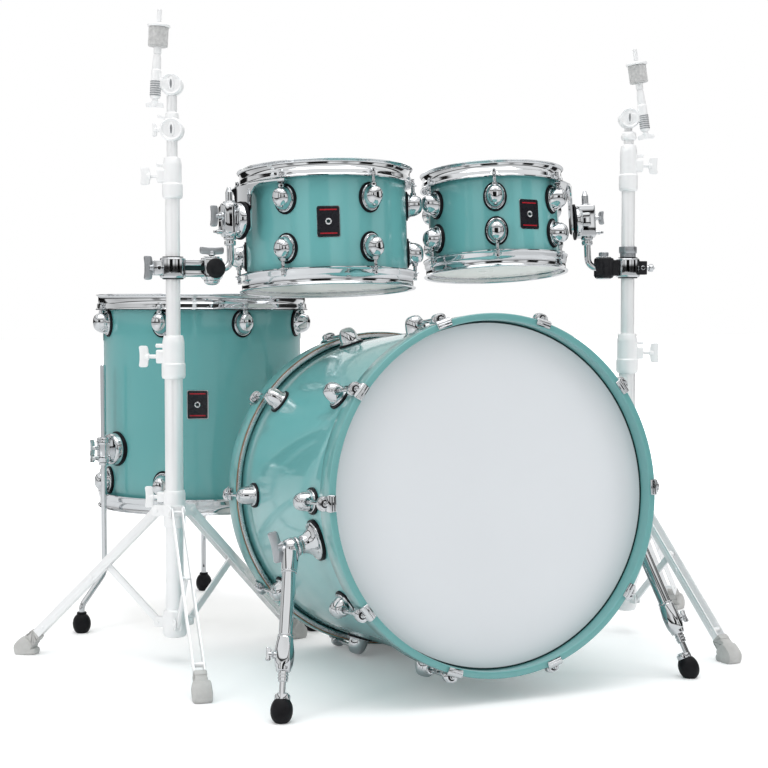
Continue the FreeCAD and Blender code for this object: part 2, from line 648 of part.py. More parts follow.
    lean = (V(0, 0, 1) + V(0, 0, 1).cross(toward) * tilter["lean"]).normalize()
    seat = disc_at_top - toward * 7 + across * 27
    disc = rod("kit.disc_radius", disc_at_top - toward * 13, disc_at_top)
    holder = rod(9, seat - lean * 26, seat + lean * 26)
    link = box(26, 10, 18, disc_at_top - toward * 7 + across * 16, upright)
    felt_low = seat + lean * tilter["felt"]
    felt_top = felt_low + lean * number("kit.felts")
    cap_top = felt_top + lean * number("kit.felt_cap")
    pin_from = cap_top + lean * 1
    stem = fuse(rod("kit.cymbal_stem", seat, cap_top - lean * 1), rod("kit.thread_relief", seat, pin_from),
                rod("kit.cymbal_rod", pin_from, pin_from + lean * number("kit.cymbal_rod_length")))
    wing = box(30, 8, 14, seat - lean * 40, upright)
    wing_stem = rod(5, seat - lean * 40, seat - lean * 24)
    sleeve = rod(7, felt_low - lean * 12, felt_low)
    metal = fuse(disc, holder, link, stem, wing, wing_stem, sleeve)
    felts = cut(rod("kit.felt_radius", felt_low, felt_top), rod("kit.cymbal_stem", seat, cap_top))
    nut = cut(rod("kit.felt_cap_radius", felt_top, cap_top),
              rod("kit.cymbal_stem", seat, cap_top + lean * 9))
    keep(prefix + "tilter", group([metal, felts, nut]))
    places[side + "_tilter"] = (disc_at_top, toward)
    places[side + "_cymbal_rod"] = (pin_from, lean, number("kit.cymbal_rod_length"))


view_way = (0.3946, 0.9189, 0.0)
stand("left", {"bolt_angle": 157, "upper_collar": 823, "upper_height": 72, "disc": 1022,
               "extra_discs": [943], "stem_top": 931},
      {"axis": view_way, "side": 1, "lean": -0.06, "felt": 64})
stand("right", {"bolt_angle": -23, "upper_collar": 855, "upper_height": 88, "disc": 994,
                "extra_discs": [], "stem_top": 968},
      {"axis": view_way, "side": -1, "lean": 0.14, "felt": 66})


# ---------------------------------------------------------------- rack toms and their holders

def tom_mount(name):
    """Suspension mount: plate hung from two top rods, gasket, bracket; local X out of the shell."""
    radius = number("kit.%s_radius" % name)
    shelf_z = number("kit.%s_depth / 2 - kit.mount_shelf_drop" % name)
    lift = number("kit.%s_mount_lift" % name)
    standoff = radius + number("kit.holder_standoff")
    plate_in = radius + number("kit.mount_plate_gap")
    thick = number("kit.mount_plate")
    low = lift - number("kit.mount_plate_low")
    plate = ring(plate_in + thick, plate_in, shelf_z + thick - low, low)
    shelf = ring(plate_in + thick, radius + 9, thick, shelf_z)
    station = radius + number("kit.rod_offset")
    hanger_angle = number("kit.hanger_angle")
    holes = [cylinder("kit.rod_radius + 0.5", 20, polar(angle, station, shelf_z - 8))
             for angle in (-hanger_angle, hanger_angle)]
    wedge = fuse(box(80, "kit.mount_plate_width", 2 * (shelf_z + 10), (radius + 30, 0, 0)),
                 box(110, station + 18, 12, (radius, 0, shelf_z)))
    hanger = cut(common(fuse(plate, shelf), wedge), *holes)
    gasket_from = plate_in + thick + 1
    gasket = cylinder("kit.mount_pad_radius", 3.5, (gasket_from, 0, lift), (1, 0, 0))
    base = cylinder("kit.mount_pad_radius - 4", 13, (gasket_from + 3.5, 0, lift), (1, 0, 0))
    barrel = box(38, 34, "kit.mount_barrel", (standoff - 1, 0, lift))
    bore = cylinder("kit.arm_rod + kit.running_gap", 120, (standoff, 0, lift - 60))
    screw = wing_bolt((standoff + 16, 0, lift + 6), (1, 0, 0), 10, 30)
    return group([hanger, gasket, fuse(cut(fuse(base, barrel), bore), screw)])


def rack_tom(prefix, name, side, mount_angle):
    """A rack tom, its mount, the bent arm and the clamp on its stand."""
    tilt = FreeCAD.Rotation(V(1, 0, 0), -number("kit.%s_tilt" % name))
    centre = V(number("kit.%s_x" % name), number("kit.%s_y" % name), number("kit.%s_z" % name))
    frame = FreeCAD.Placement(centre, tilt)
    tom_drum(prefix, name, frame, 6)
    mount_frame = frame.multiply(turned(mount_angle))
    keep(prefix + "_mount", tom_mount(name), mount_frame)

    reach = number("kit.%s_radius + kit.holder_standoff" % name)
    through = mount_frame.multVec(V(reach, 0, number("kit.%s_mount_lift" % name)))
    up = tilt.multVec(V(0, 0, 1))
    arm_z = number("kit.%s_arm_z" % side)
    elbow = through - up * ((through.z - arm_z) / up.z)
    pole = V(number("kit.%s_x" % side), number("kit.%s_y" % side), arm_z)
    along = (elbow - pole).normalize()
    ball_at = pole + along * number("kit.%s_ball" % side)
    tip = through + up * number("kit.arm_tip")
    arm = bent_rod([tip, elbow, ball_at - along * 21], number("kit.arm_rod"), (17,))
    ball = add("Part::Sphere", "ball")
    ball.Placement = placed(ball_at, along)
    bind(ball, Radius="kit.ball")
    keep(prefix + "_arm", group([fuse(arm, ball)]))

    across = V(0, 0, 1).cross(along)
    turn = FreeCAD.Rotation(along, across, V(0, 0, 1), "XYZ")
    height = number("kit.clamp_height")
    grip = cylinder("kit.clamp_radius", height, pole - V(0, 0, height / 2))
    span = (ball_at - pole).Length
    bridge = box(span - 8, 20, 30, pole + along * (span / 2 - 2), turn)
    housing = cylinder("kit.housing_radius", 36, ball_at - V(0, 0, 18))
    tail = box(18, 16, 28, pole - along * 27, turn)
    pole_bore = cylinder("kit.middle_tube + kit.running_gap", height + 20, pole - V(0, 0, height / 2 + 10))
    socket = add("Part::Sphere", "socket")
    socket.Placement = placed(ball_at, along)
    bind(socket, Radius="kit.ball + kit.running_gap")
    throat = add("Part::Cone", "throat")
    throat.Placement = placed(ball_at, along)
    bind(throat, Radius1="kit.arm_rod + 2", Radius2="kit.arm_rod + 9", Height=30)
    rear = add("Part::Cone", "rear")
    rear.Placement = placed(ball_at, along * -1)
    bind(rear, Radius1="kit.arm_rod + 2", Radius2="kit.arm_rod + 9", Height=24)
    top_screw = wing_bolt(ball_at + V(0, 0, 17), (0, 0, 1), 12)
    back_screw = wing_bolt(pole - along * 34, along * -1, 7)
    solid = cut(fuse(grip, bridge, housing, tail), pole_bore, socket, throat, rear)
    keep(prefix + "_clamp", group([fuse(solid, top_screw, back_screw)]))
    places[prefix + "_clamp"] = (pole, V(0, 0, 1))
    places[prefix + "_arm"] = (ball_at, along)
    places[prefix + "_swivel"] = (through, up)


rack_tom("large_tom", "large", "left", 190.4)
rack_tom("small_tom", "small", "right", -25.3)

doc.recompute()


def check_and_write():
    """Stops on any failed object, then writes each sub-part."""
    for thing in doc.Objects:
        if "Invalid" in thing.State or "Error" in thing.State:
            raise RuntimeError("%s failed: %s" % (thing.Name, thing.State))
    os.makedirs("parts", exist_ok=True)
    for piece in pieces:
        shape = piece.Shape
        if shape.isNull() or not shape.isValid() or not shape.Solids:
            raise RuntimeError("%s has a bad shape" % piece.Label)
        shape.exportStep("parts/%s.step" % piece.Label)
    print(len(pieces), "sub-parts")


check_and_write()
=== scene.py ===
"""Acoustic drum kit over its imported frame. Lengths below are millimetres, turned to metres on output."""

import math

import bmesh
import bpy
from mathutils import Matrix, Vector


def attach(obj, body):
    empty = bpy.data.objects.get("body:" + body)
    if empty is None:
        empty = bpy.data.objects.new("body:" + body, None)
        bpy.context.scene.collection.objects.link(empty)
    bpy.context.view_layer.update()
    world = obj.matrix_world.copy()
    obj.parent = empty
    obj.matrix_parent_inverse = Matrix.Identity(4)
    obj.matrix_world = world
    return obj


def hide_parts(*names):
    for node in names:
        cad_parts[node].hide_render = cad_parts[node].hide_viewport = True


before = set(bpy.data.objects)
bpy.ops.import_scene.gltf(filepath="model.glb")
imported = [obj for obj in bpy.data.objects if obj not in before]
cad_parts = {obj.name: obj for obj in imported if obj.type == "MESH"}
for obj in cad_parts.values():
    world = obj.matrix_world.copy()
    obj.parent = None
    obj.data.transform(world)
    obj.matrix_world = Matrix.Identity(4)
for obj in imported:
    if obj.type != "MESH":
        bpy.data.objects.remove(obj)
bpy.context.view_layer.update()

MM = 0.001
AT_ORIGIN = Matrix.Identity(4)
FLIP = Matrix.Rotation(math.pi, 4, "X")
UP = Vector((0, 0, 1))


# ------------------------------------------------------------------ materials

NOISE_LOW, NOISE_HIGH = 0.3, 0.7


def add_node(tree, kind, **inputs):
    """New shader node, each named or numbered (_0) input set to a value or wired to an output."""
    node = tree.nodes.new("ShaderNode" + kind)
    for name, source in inputs.items():
        socket = node.inputs[int(name[1:]) if name.startswith("_") else name]
        if isinstance(source, bpy.types.NodeSocket):
            tree.links.new(source, socket)
        else:
            socket.default_value = source
    return node


def add_ramp(tree, source, stops):
    """Colour ramp through (position, colour) stops."""
    node = add_node(tree, "ValToRGB", Fac=source)
    elements = node.color_ramp.elements
    while len(elements) < len(stops):
        elements.new(0.5)
    for element, (position, colour) in zip(elements, stops):
        element.position = position
        element.color = (*colour, 1)
    return node.outputs["Color"]


def add_mix(tree, factor, first, second):
    """Colour between two colours, each one a value or an output."""
    node = tree.nodes.new("ShaderNodeMix")
    node.data_type = "RGBA"
    tree.links.new(factor, node.inputs["Factor"])
    for name, source in (("A", first), ("B", second)):
        if isinstance(source, bpy.types.NodeSocket):
            tree.links.new(source, node.inputs[name])
        else:
            node.inputs[name].default_value = source
    return node.outputs["Result"]


class Nodes:
    """One material and short ways to wire it."""

    def __init__(self, name, colour, rough, metal=0.0, coat=0.0, coat_rough=0.04, specular=0.5, sheen=0.0):
        self.material = bpy.data.materials.new(name)
        self.material.use_nodes = True
        self.tree = self.material.node_tree
        self.shader = self.tree.nodes["Principled BSDF"]
        self.place = self.tree.nodes.new("ShaderNodeTexCoord").outputs["Object"]
        self.set("Base Color", (*colour, 1))
        self.set("Roughness", rough)
        self.set("Metallic", metal)
        self.set("Coat Weight", coat)
        self.set("Coat Roughness", coat_rough)
        self.set("Specular IOR Level", specular)
        self.set("Sheen Weight", sheen)

    def set(self, socket, value):
        self.shader.inputs[socket].default_value = value

    def link(self, source, target):
        self.tree.links.new(source, target)

    def noise(self, scale, detail=3.0, stretch=None):
        """Noise at a scale in cells per metre, stretched by a factor on each axis."""
        source = self.place
        if stretch:
            source = add_node(self.tree, "Mapping", Scale=stretch, Vector=source).outputs["Vector"]
        return add_node(self.tree, "TexNoise", Scale=scale, Detail=detail, Vector=source).outputs["Fac"]

    def vary(self, scale, low, high, **more):
        """Base colour that drifts between two colours."""
        drift = add_ramp(self.tree, self.noise(scale, **more), ((NOISE_LOW, low), (NOISE_HIGH, high)))
        self.link(drift, self.shader.inputs["Base Color"])

    def smudge(self, scale, low, high, **more):
        """Roughness that drifts between two values."""
        node = add_node(self.tree, "MapRange", **{"From Min": NOISE_LOW, "From Max": NOISE_HIGH,
                                                  "To Min": low, "To Max": high,
                                                  "Value": self.noise(scale, **more)})
        self.link(node.outputs["Result"], self.shader.inputs["Roughness"])

    def bump(self, source, strength, depth):
        """Fine relief of the surface, depth in metres."""
        node = add_node(self.tree, "Bump", Strength=strength, Distance=depth, Height=source)
        self.link(node.outputs["Normal"], self.shader.inputs["Normal"])


def lacquer(name, low, high, coat_rough):
    """Sprayed gloss lacquer: slow drift of colour and a faint orange peel."""
    paint = Nodes(name, high, 0.32, coat=1.0, coat_rough=coat_rough, specular=0.4)
    paint.vary(3.0, low, high, detail=2.0)
    paint.smudge(9.0, 0.28, 0.40)
    paint.bump(paint.noise(260.0, 2.0), 0.05, 0.0004)
    return paint.material


def plated(name, colour, low, high, peel=0.03, metallic=1.0):
    """Bright plating over a polished casting: smudges in the gloss, slight unevenness of the metal."""
    metal = Nodes(name, colour, low, metal=metallic)
    metal.smudge(45.0, low, high, detail=4.0)
    metal.bump(metal.noise(70.0, 1.0), peel, 0.0006)
    return metal.material


def rubber(name, low, high, rough, specular):
    tyre = Nodes(name, low, rough, specular=specular)
    tyre.vary(60.0, low, high)
    tyre.smudge(30.0, rough - 0.07, rough + 0.10)
    tyre.bump(tyre.noise(1500.0, 3.0), 0.25, 0.0002)
    return tyre.material


TEAL = lacquer("teal_lacquer", (0.116, 0.372, 0.374), (0.138, 0.402, 0.405), 0.055)
# same teal lacquer darkened for the floor tom: painted shade, as it stands behind the other drums
TEAL_SHADED = lacquer("teal_lacquer_painted_shade", (0.095, 0.332, 0.334), (0.112, 0.358, 0.360), 0.055)
TEAL_HOOP = lacquer("teal_hoop_lacquer", (0.112, 0.325, 0.322), (0.130, 0.350, 0.347), 0.12)
CHROME = plated("chrome", (0.70, 0.715, 0.73), 0.02, 0.06, 0.012)
CHROME_HOOP = plated("chrome_pressed", (0.72, 0.735, 0.75), 0.03, 0.07, 0.015)
STEEL_DARK = plated("threaded_steel", (0.50, 0.51, 0.53), 0.20, 0.38)
CAST_GREY = plated("satin_casting", (0.50, 0.52, 0.54), 0.30, 0.42, 0.08)
STAND = plated("pale_satin_tube", (0.93, 0.935, 0.94), 0.28, 0.42, metallic=0.45)
STAND_CAST = plated("pale_satin_casting", (0.90, 0.905, 0.91), 0.34, 0.50, 0.10, metallic=0.30)
RIM = plated("spun_aluminium", (0.70, 0.71, 0.72), 0.22, 0.32)
RUBBER = rubber("black_rubber", (0.006, 0.006, 0.007), (0.012, 0.012, 0.014), 0.42, 0.12)
GASKET = rubber("black_gasket", (0.005, 0.005, 0.007), (0.010, 0.010, 0.013), 0.38, 0.12)
NYLON = rubber("black_nylon", (0.008, 0.008, 0.010), (0.016, 0.016, 0.018), 0.30, 0.22)
GREY_RUBBER = rubber("grey_rubber", (0.44, 0.44, 0.43), (0.52, 0.52, 0.51), 0.55, 0.30)


def felt():
    cloth = Nodes("grey_felt", (0.5, 0.5, 0.5), 0.95, specular=0.1, sheen=0.6)
    cloth.vary(180.0, (0.40, 0.40, 0.40), (0.58, 0.58, 0.575), detail=6.0)
    cloth.bump(cloth.noise(900.0, 5.0, (1, 1, 2.5)), 0.7, 0.0012)
    return cloth.material


def maple():
    """Bare ply edge: thin layers across the axis of the hoop."""
    wood = Nodes("bare_ply", (0.30, 0.16, 0.08), 0.48, coat=0.3, coat_rough=0.25)
    wood.vary(55.0, (0.17, 0.085, 0.045), (0.38, 0.22, 0.12), detail=5.0, stretch=(1, 8, 1))
    wood.bump(wood.noise(400.0, 4.0, (1, 6, 1)), 0.15, 0.0003)
    return wood.material


def film(name, low, high, rough, grain, through=0.0):
    """Drum head film, coated or smooth."""
    skin = Nodes(name, high, rough, specular=0.45)
    skin.vary(2.5, low, high, detail=2.0)
    skin.smudge(14.0, rough - 0.05, rough + 0.06)
    skin.bump(skin.noise(1100.0, 4.0), grain, 0.0003)
    skin.set("Subsurface Weight", through)
    skin.set("Subsurface Radius", (0.01, 0.01, 0.01))
    skin.set("Subsurface Scale", 1.0)
    return skin.material


FELT = felt()
PLY = maple()
HEAD_FRONT = film("smooth_film", (0.650, 0.677, 0.703), (0.675, 0.702, 0.728), 0.42, 0.06)
HEAD_COATED = film("coated_film", (0.80, 0.80, 0.77), (0.86, 0.86, 0.83), 0.55, 0.30)
HEAD_CLEAR = film("hazy_film", (0.88, 0.865, 0.82), (0.92, 0.905, 0.86), 0.30, 0.04)
# dark teal that stands for shade: painted shadow at the head's edge, in the vent hole and in the clamp's
# bridge gap
SHADOW = rubber("painted_shadow", (0.008, 0.026, 0.027), (0.014, 0.036, 0.037), 0.6, 0.15)


def enamel(name, colour):
    glass = Nodes(name, colour, 0.25, coat=0.3, coat_rough=0.03, specular=0.25)
    glass.smudge(120.0, 0.20, 0.34)
    glass.bump(glass.noise(500.0, 2.0), 0.04, 0.0002)
    return glass.material


BADGE_BLACK = enamel("black_enamel", (0.010, 0.010, 0.014))
BADGE_RED = enamel("red_enamel", (0.36, 0.012, 0.022))


# ------------------------------------------------------------------ outlines and frames

def soften(outline, radius, steps=3, closed=True):
    """Outline with its corners rounded."""
    points = [Vector(point) for point in outline]
    smooth = []
    for index, corner in enumerate(points):
        if not closed and index in (0, len(points) - 1):
            smooth.append(corner)
            continue
        back = points[index - 1] - corner
        onward = points[(index + 1) % len(points)] - corner
        reach = min(radius, back.length * 0.48, onward.length * 0.48)
        start = corner + back.normalized() * reach
        end = corner + onward.normalized() * reach
        for step in range(steps + 1):
            t = step / steps
            smooth.append(start * (1 - t) ** 2 + corner * (2 * t * (1 - t)) + end * t * t)
    return smooth


def oval(width, height, count=40, power=2.0):
    """Closed oval in the plane, squarer for a higher power."""
    points = []
    for index in range(count):
        angle = math.tau * index / count
        c, s = math.cos(angle), math.sin(angle)
        points.append(Vector((math.copysign(abs(c) ** (2 / power), c) * width / 2,
                              math.copysign(abs(s) ** (2 / power), s) * height / 2)))
    return points


def inset(outline, depth):
    """Outline, drawn anticlockwise, moved inwards."""
    count = len(outline)
    moved = []
    for index, point in enumerate(outline):
        before = (point - outline[index - 1]).normalized()
        after = (outline[(index + 1) % count] - point).normalized()
        first = Vector((-before.y, before.x))
        second = Vector((-after.y, after.x))
        moved.append(point + (first + second) * (depth / max(0.35, 1 + first.dot(second))))
    return moved


def rectangle(width, height, radius=1.5, steps=3):
    w, h = width / 2, height / 2
    return soften([(-w, -h), (w, -h), (w, h), (-w, h)], radius, steps)


def facing(point, axis, hint=(0, 0, 1)):
    """Frame at a point with local Z along axis and local X as near to hint as it goes."""
    z = Vector(axis).normalized()
    x = Vector(hint) - z * Vector(hint).dot(z)
    x = z.orthogonal() if x.length < 1e-3 else x
    x.normalize()
    y = z.cross(x)
    return Matrix(((x.x, y.x, z.x, point[0]), (x.y, y.y, z.y, point[1]),
                   (x.z, y.z, z.z, point[2]), (0, 0, 0, 1)))


def shift(x=0.0, y=0.0, z=0.0):
    return Matrix.Translation((x, y, z))


def spin(degrees, axis="Z"):
    return Matrix.Rotation(math.radians(degrees), 4, axis)


def polar(degrees, radius=1.0, height=0.0):
    angle = math.radians(degrees)
    return Vector((radius * math.cos(angle), radius * math.sin(angle), height))


def bent(points, bends, steps=9):
    """Points along straight runs joined by tangent arcs."""
    points = [Vector(point) for point in points]
    route = [points[0]]
    for before, corner, after, bend in zip(points, points[1:], points[2:], bends):
        back = (before - corner).normalized()
        onward = (after - corner).normalized()
        half = back.angle(onward) / 2
        centre = corner + (back + onward).normalized() * (bend / math.sin(half))
        start = corner + back * (bend / math.tan(half)) - centre
        turn = math.pi - 2 * half
        axis = back.cross(onward) * -1
        for step in range(steps + 1):
            route.append(centre + Matrix.Rotation(turn * step / steps, 3, axis) @ start)
    route.append(points[-1])
    return route


# ------------------------------------------------------------------ mesh builder

class Piece:
    """Gathers the faces of one visible piece, each with its own material."""

    def __init__(self):
        self.points = []
        self.faces = []
        self.marks = []
        self.materials = []

    def mark(self, material):
        if material not in self.materials:
            self.materials.append(material)
        return self.materials.index(material)

    def rows(self, rows, material, at=AT_ORIGIN, join=False, caps=True):
        """Skin over rows of points; material may be one per gap between rows."""
        starts = []
        for row in rows:
            starts.append(len(self.points))
            self.points += [at @ Vector(point) for point in row]
        gaps = [(index, index + 1) for index in range(len(rows) - 1)]
        if join:
            gaps.append((len(rows) - 1, 0))
        for order, (a, b) in enumerate(gaps):
            mark = self.mark(material[order] if isinstance(material, list) else material)
            count = max(len(rows[a]), len(rows[b]))
            for i in range(count):
                j = (i + 1) % count
                if len(rows[a]) == 1:
                    face = (starts[a], starts[b] + j, starts[b] + i)
                elif len(rows[b]) == 1:
                    face = (starts[a] + i, starts[a] + j, starts[b])
                else:
                    face = (starts[a] + i, starts[a] + j, starts[b] + j, starts[b] + i)
                self.faces.append(face)
                self.marks.append(mark)
        if caps and not join:
            for index in (0, len(rows) - 1):
                if len(rows[index]) > 2:
                    self.faces.append([starts[index] + i for i in range(len(rows[index]))])
                    self.marks.append(self.mark(material))

    def absorb(self, other):
        """Takes in another piece made of the same single material."""
        start = len(self.points)
        self.faces += [tuple(start + i for i in face) for face in other.faces]
        self.points += other.points
        self.marks += other.marks

    def lathe(self, profile, material, at=AT_ORIGIN, steps=48, closed=False):
        """Turns (radius, height) points about local Z."""
        rows = []
        for radius, height in profile:
            if radius < 1e-6:
                rows.append([(0, 0, height)])
            else:
                rows.append([polar(360 * i / steps, radius, height) for i in range(steps)])
        self.rows(rows, material, at, join=closed, caps=not closed)

    def turned(self, outline, material, at=AT_ORIGIN, edge=1.0, steps=48, fine=3):
        """Solid turned from an outline that starts and ends on the axis, its corners rounded."""
        self.lathe(soften(outline, edge, fine, closed=False), material, at, steps)

    def sleeve(self, outline, material, at=AT_ORIGIN, edge=1.0, steps=48, fine=3):
        """Ring or sleeve turned from a closed outline, its corners rounded."""
        self.lathe(soften(outline, edge, fine), material, at, steps, closed=True)

    def disc(self, radius, low, high, material, at=AT_ORIGIN, edge=0.6, steps=40, bore=0.0):
        """Round plate, barrel or washer with rounded edges."""
        outline = [(bore, low), (radius, low), (radius, high), (bore, high)]
        if bore:
            self.sleeve(outline, material, at, edge, steps)
        else:
            self.turned(outline, material, at, edge, steps)

    def slab(self, outline, low, high, material, at=AT_ORIGIN, edge=0.8):
        """Plate with rounded edges over an anticlockwise outline."""
        edge = min(edge, abs(high - low) * 0.45)
        rows = [[(p.x, p.y, low + edge * up) for p in inset(outline, edge * inn)]
                for inn, up in ((1, 0), (0.293, 0.293), (0, 1))]
        rows += [[(p.x, p.y, high - edge * up) for p in inset(outline, edge * inn)]
                 for inn, up in ((0, 1), (0.293, 0.293), (1, 0))]
        self.rows(rows, material, at)

    def block(self, length, width, height, material, at=AT_ORIGIN, edge=1.2, corner=2.0):
        """Box about the local origin with every edge rounded."""
        self.slab(rectangle(length, width, corner), -height / 2, height / 2, material, at, edge)

    def tube(self, path, radius, material, at=AT_ORIGIN, steps=24, edge=0.8):
        """Round bar along a path; radius may be one per point."""
        path = [Vector(point) for point in path]
        radii = radius if isinstance(radius, list) else [radius] * len(path)
        first = (path[1] - path[0]).normalized()
        last = (path[-1] - path[-2]).normalized()
        path = [path[0], path[0] + first * edge] + path[1:-1] + [path[-1] - last * edge, path[-1]]
        radii = [radii[0] - edge, radii[0]] + radii[1:-1] + [radii[-1], radii[-1] - edge]
        side = first.orthogonal().normalized()
        rows = []
        for index, (point, size) in enumerate(zip(path, radii)):
            onward = path[min(index + 1, len(path) - 1)] - path[max(index - 1, 0)]
            onward.normalize()
            side = (side - onward * side.dot(onward)).normalized()
            across = onward.cross(side)
            rows.append([point + (side * math.cos(math.tau * i / steps)
                                  + across * math.sin(math.tau * i / steps)) * size
                         for i in range(steps)])
        self.rows(rows, material, at)

    def bar(self, start, end, radius, material, at=AT_ORIGIN, steps=24, edge=0.6):
        self.tube([start, end], radius, material, at, steps, edge)

    def wing(self, point, axis, span, material, hint=(0, 0, 1), tall=13.0, thick=6.0, neck=5.5, reach=9.0):
        """Wing nut: neck and a waisted wing, pointing along axis from a point."""
        at = facing(point, axis, hint)
        self.lathe(soften([(0, 0), (neck + 1.2, 0), (neck, reach * 0.6), (neck - 1.2, reach + 4),
                           (0, reach + 4)], 1.2, 3, closed=False), material, at, 24)
        half = span / 2
        shape = soften([(-half, reach - 1), (-half * 0.35, reach - 2.5), (half * 0.35, reach - 2.5),
                        (half, reach - 1), (half, reach + tall), (half * 0.35, reach + tall - 1.8),
                        (-half * 0.35, reach + tall - 1.8), (-half, reach + tall)], 4.5, 4)
        flat = at @ Matrix(((1, 0, 0, 0), (0, 0, 1, 0), (0, 1, 0, 0), (0, 0, 0, 1)))
        self.slab(shape, -thick / 2, thick / 2, material, flat, 1.6)

    def key_bolt(self, point, axis, size):
        """Square headed key bolt on a round collar."""
        at = facing(point, axis)
        self.disc(4.6 * size, 0, 2.2 * size, CHROME, at, 0.5, 24)
        self.disc(3.4 * size, 2.0 * size, 4.4 * size, CHROME, at, 0.4, 24)
        self.slab(rectangle(5.0 * size, 5.0 * size, 0.7), 4.0 * size, 9.6 * size, CHROME, at, 0.5)

    def make(self, name, body, *nodes, slot=None, angle=32.0):
        """Turns the faces into an object that rides on a body and stands for CAD nodes."""
        mesh = bpy.data.meshes.new(name)
        mesh.from_pydata([point * MM for point in self.points], [], self.faces)
        for material in self.materials:
            mesh.materials.append(material)
        mesh.polygons.foreach_set("material_index", self.marks)
        work = bmesh.new()
        work.from_mesh(mesh)
        bmesh.ops.recalc_face_normals(work, faces=work.faces)
        work.to_mesh(mesh)
        work.free()
        mesh.shade_smooth()
        mesh.set_sharp_from_angle(angle=math.radians(angle))
        thing = bpy.data.objects.new(name, mesh)
        bpy.context.scene.collection.objects.link(thing)
        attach(thing, body)
        if nodes:
            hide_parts(*nodes)


# ------------------------------------------------------------------ drum parts about local Z

FILM = 0.8
HOOP_INNER = 7.0
HOOP_STEEL = 2.3
HOOP_DROP = 22.0
HOOP_RISE = 9.5
ROD_OFFSET = 14.0
LUG_WIDTH, LUG_HEIGHT = 38.0, 48.0
HEAD_STEPS = 120


def shell(piece, radius, depth, at, steps=160, paint=TEAL):
    """Lacquered shell with turned bearing edges and a bare inside."""
    half = depth / 2
    outside = [(radius - 1.6, -half + 0.1), (radius - 0.4, -half + 0.6), (radius, -half + 2)]
    outside += [(radius, -half + 2 + (depth - 4) * i / 6) for i in range(1, 6)]
    outside += [(radius, half - 2), (radius - 0.4, half - 0.6), (radius - 1.6, half - 0.1)]
    inside = [(radius - 7.5, half - 5), (radius - 7.5, -half + 5)]
    materials = [paint] * (len(outside) - 1) + [PLY] * 3
    piece.lathe(outside + inside, materials, at, steps, closed=True)


def head(piece, radius, depth, skin, at):
    """Film with its collar and the metal rim round it, at the +Z end."""
    top = depth / 2 + FILM
    piece.lathe([(0, top), (radius * 0.5, top), (radius - 3.0, top), (radius - 0.9, top - 0.15),
                 (radius + 0.6, top - 1.2), (radius + 1.1, top - 6), (radius + 0.5, top - 6),
                 (radius - 1.4, top - 0.8), (radius * 0.5, top - 0.8), (0, top - 0.8)], skin, at, HEAD_STEPS)
    inner, outer, low = radius + 1.2, radius + 6.4, top - 9.0
    piece.sleeve([(inner, low), (outer, low), (outer, top - 0.4), (inner, top - 0.4)], RIM, at, 1.4,
                 HEAD_STEPS)


def steel_hoop(piece, radius, depth, phase, count, at):
    """Pressed hoop: flange with pulled-out ears, wall and rolled top edge."""
    inner = radius + HOOP_INNER
    outer = inner + HOOP_STEEL
    film = depth / 2 + FILM
    foot, top = film - HOOP_DROP, film + HOOP_RISE
    steps = 72 * max(4, count)
    rows = []
    station = radius + ROD_OFFSET
    for index in range(steps):
        angle = 360.0 * index / steps
        nearest = min(abs((angle - phase - k * 360 / count + 180) % 360 - 180) for k in range(count))
        along = math.radians(nearest) * station
        ear = math.exp(-(along / 8.6) ** 4)
        dip = math.exp(-((along - 17) / 7) ** 2)
        edge = outer + 5.0 + 6.7 * ear + 0.6 * dip
        bend = foot + 5.5 - 2.4 * ear + 1.2 * dip
        low = foot - 0.5 * dip
        profile = [(inner, foot + 12), (inner + 1.4, foot + 10.5), (inner + 2.2, foot + 5),
                   (inner + 3.4, low + 1.0), (edge - 1.0, low), (edge, low + 0.6), (edge, low + 1.9),
                   (edge - 0.9, low + 2.3), (outer + 3.6, low + 2.6 + 0.6 * (1 - ear)), (outer + 2.5, bend),
                   (outer + 2.2, foot + 11.6), (outer + 1.4, foot + 13.2), (outer, foot + 14.4),
                   (outer, top - 6.5), (outer + 0.5, top - 4.4), (outer + 2.2, top - 3.1),
                   (outer + 3.9, top - 2.4), (outer + 4.5, top - 1.4), (outer + 3.9, top - 0.4),
                   (outer + 1.4, top), (inner + 1.0, top), (inner + 0.1, top - 0.9), (inner, top - 3)]
        turn = spin(angle)
        rows.append([turn @ Vector((r, 0, z)) for r, z in profile])
    piece.rows(rows, CHROME_HOOP, at, join=True)


def conformal_pad(piece, width, height, top, radius, at):
    """Oval gasket between a flat casting and the curved shell; local X points out of the shell."""
    sunk, edge = 0.4, 0.7
    rows = []
    for scale, level in ((0.90, None), (1.0, None), (1.0, top - edge), (1 - edge / width, top), (0.75, top)):
        ring = []
        for point in oval(width * scale, height * scale, 56):
            if level is None:
                on_shell = math.sqrt(radius ** 2 - point.x ** 2) - radius
                ring.append((on_shell - sunk, point.x, point.y))
            else:
                ring.append((level, point.x, point.y))
        rows.append(ring)
    piece.rows(rows, GASKET, at)


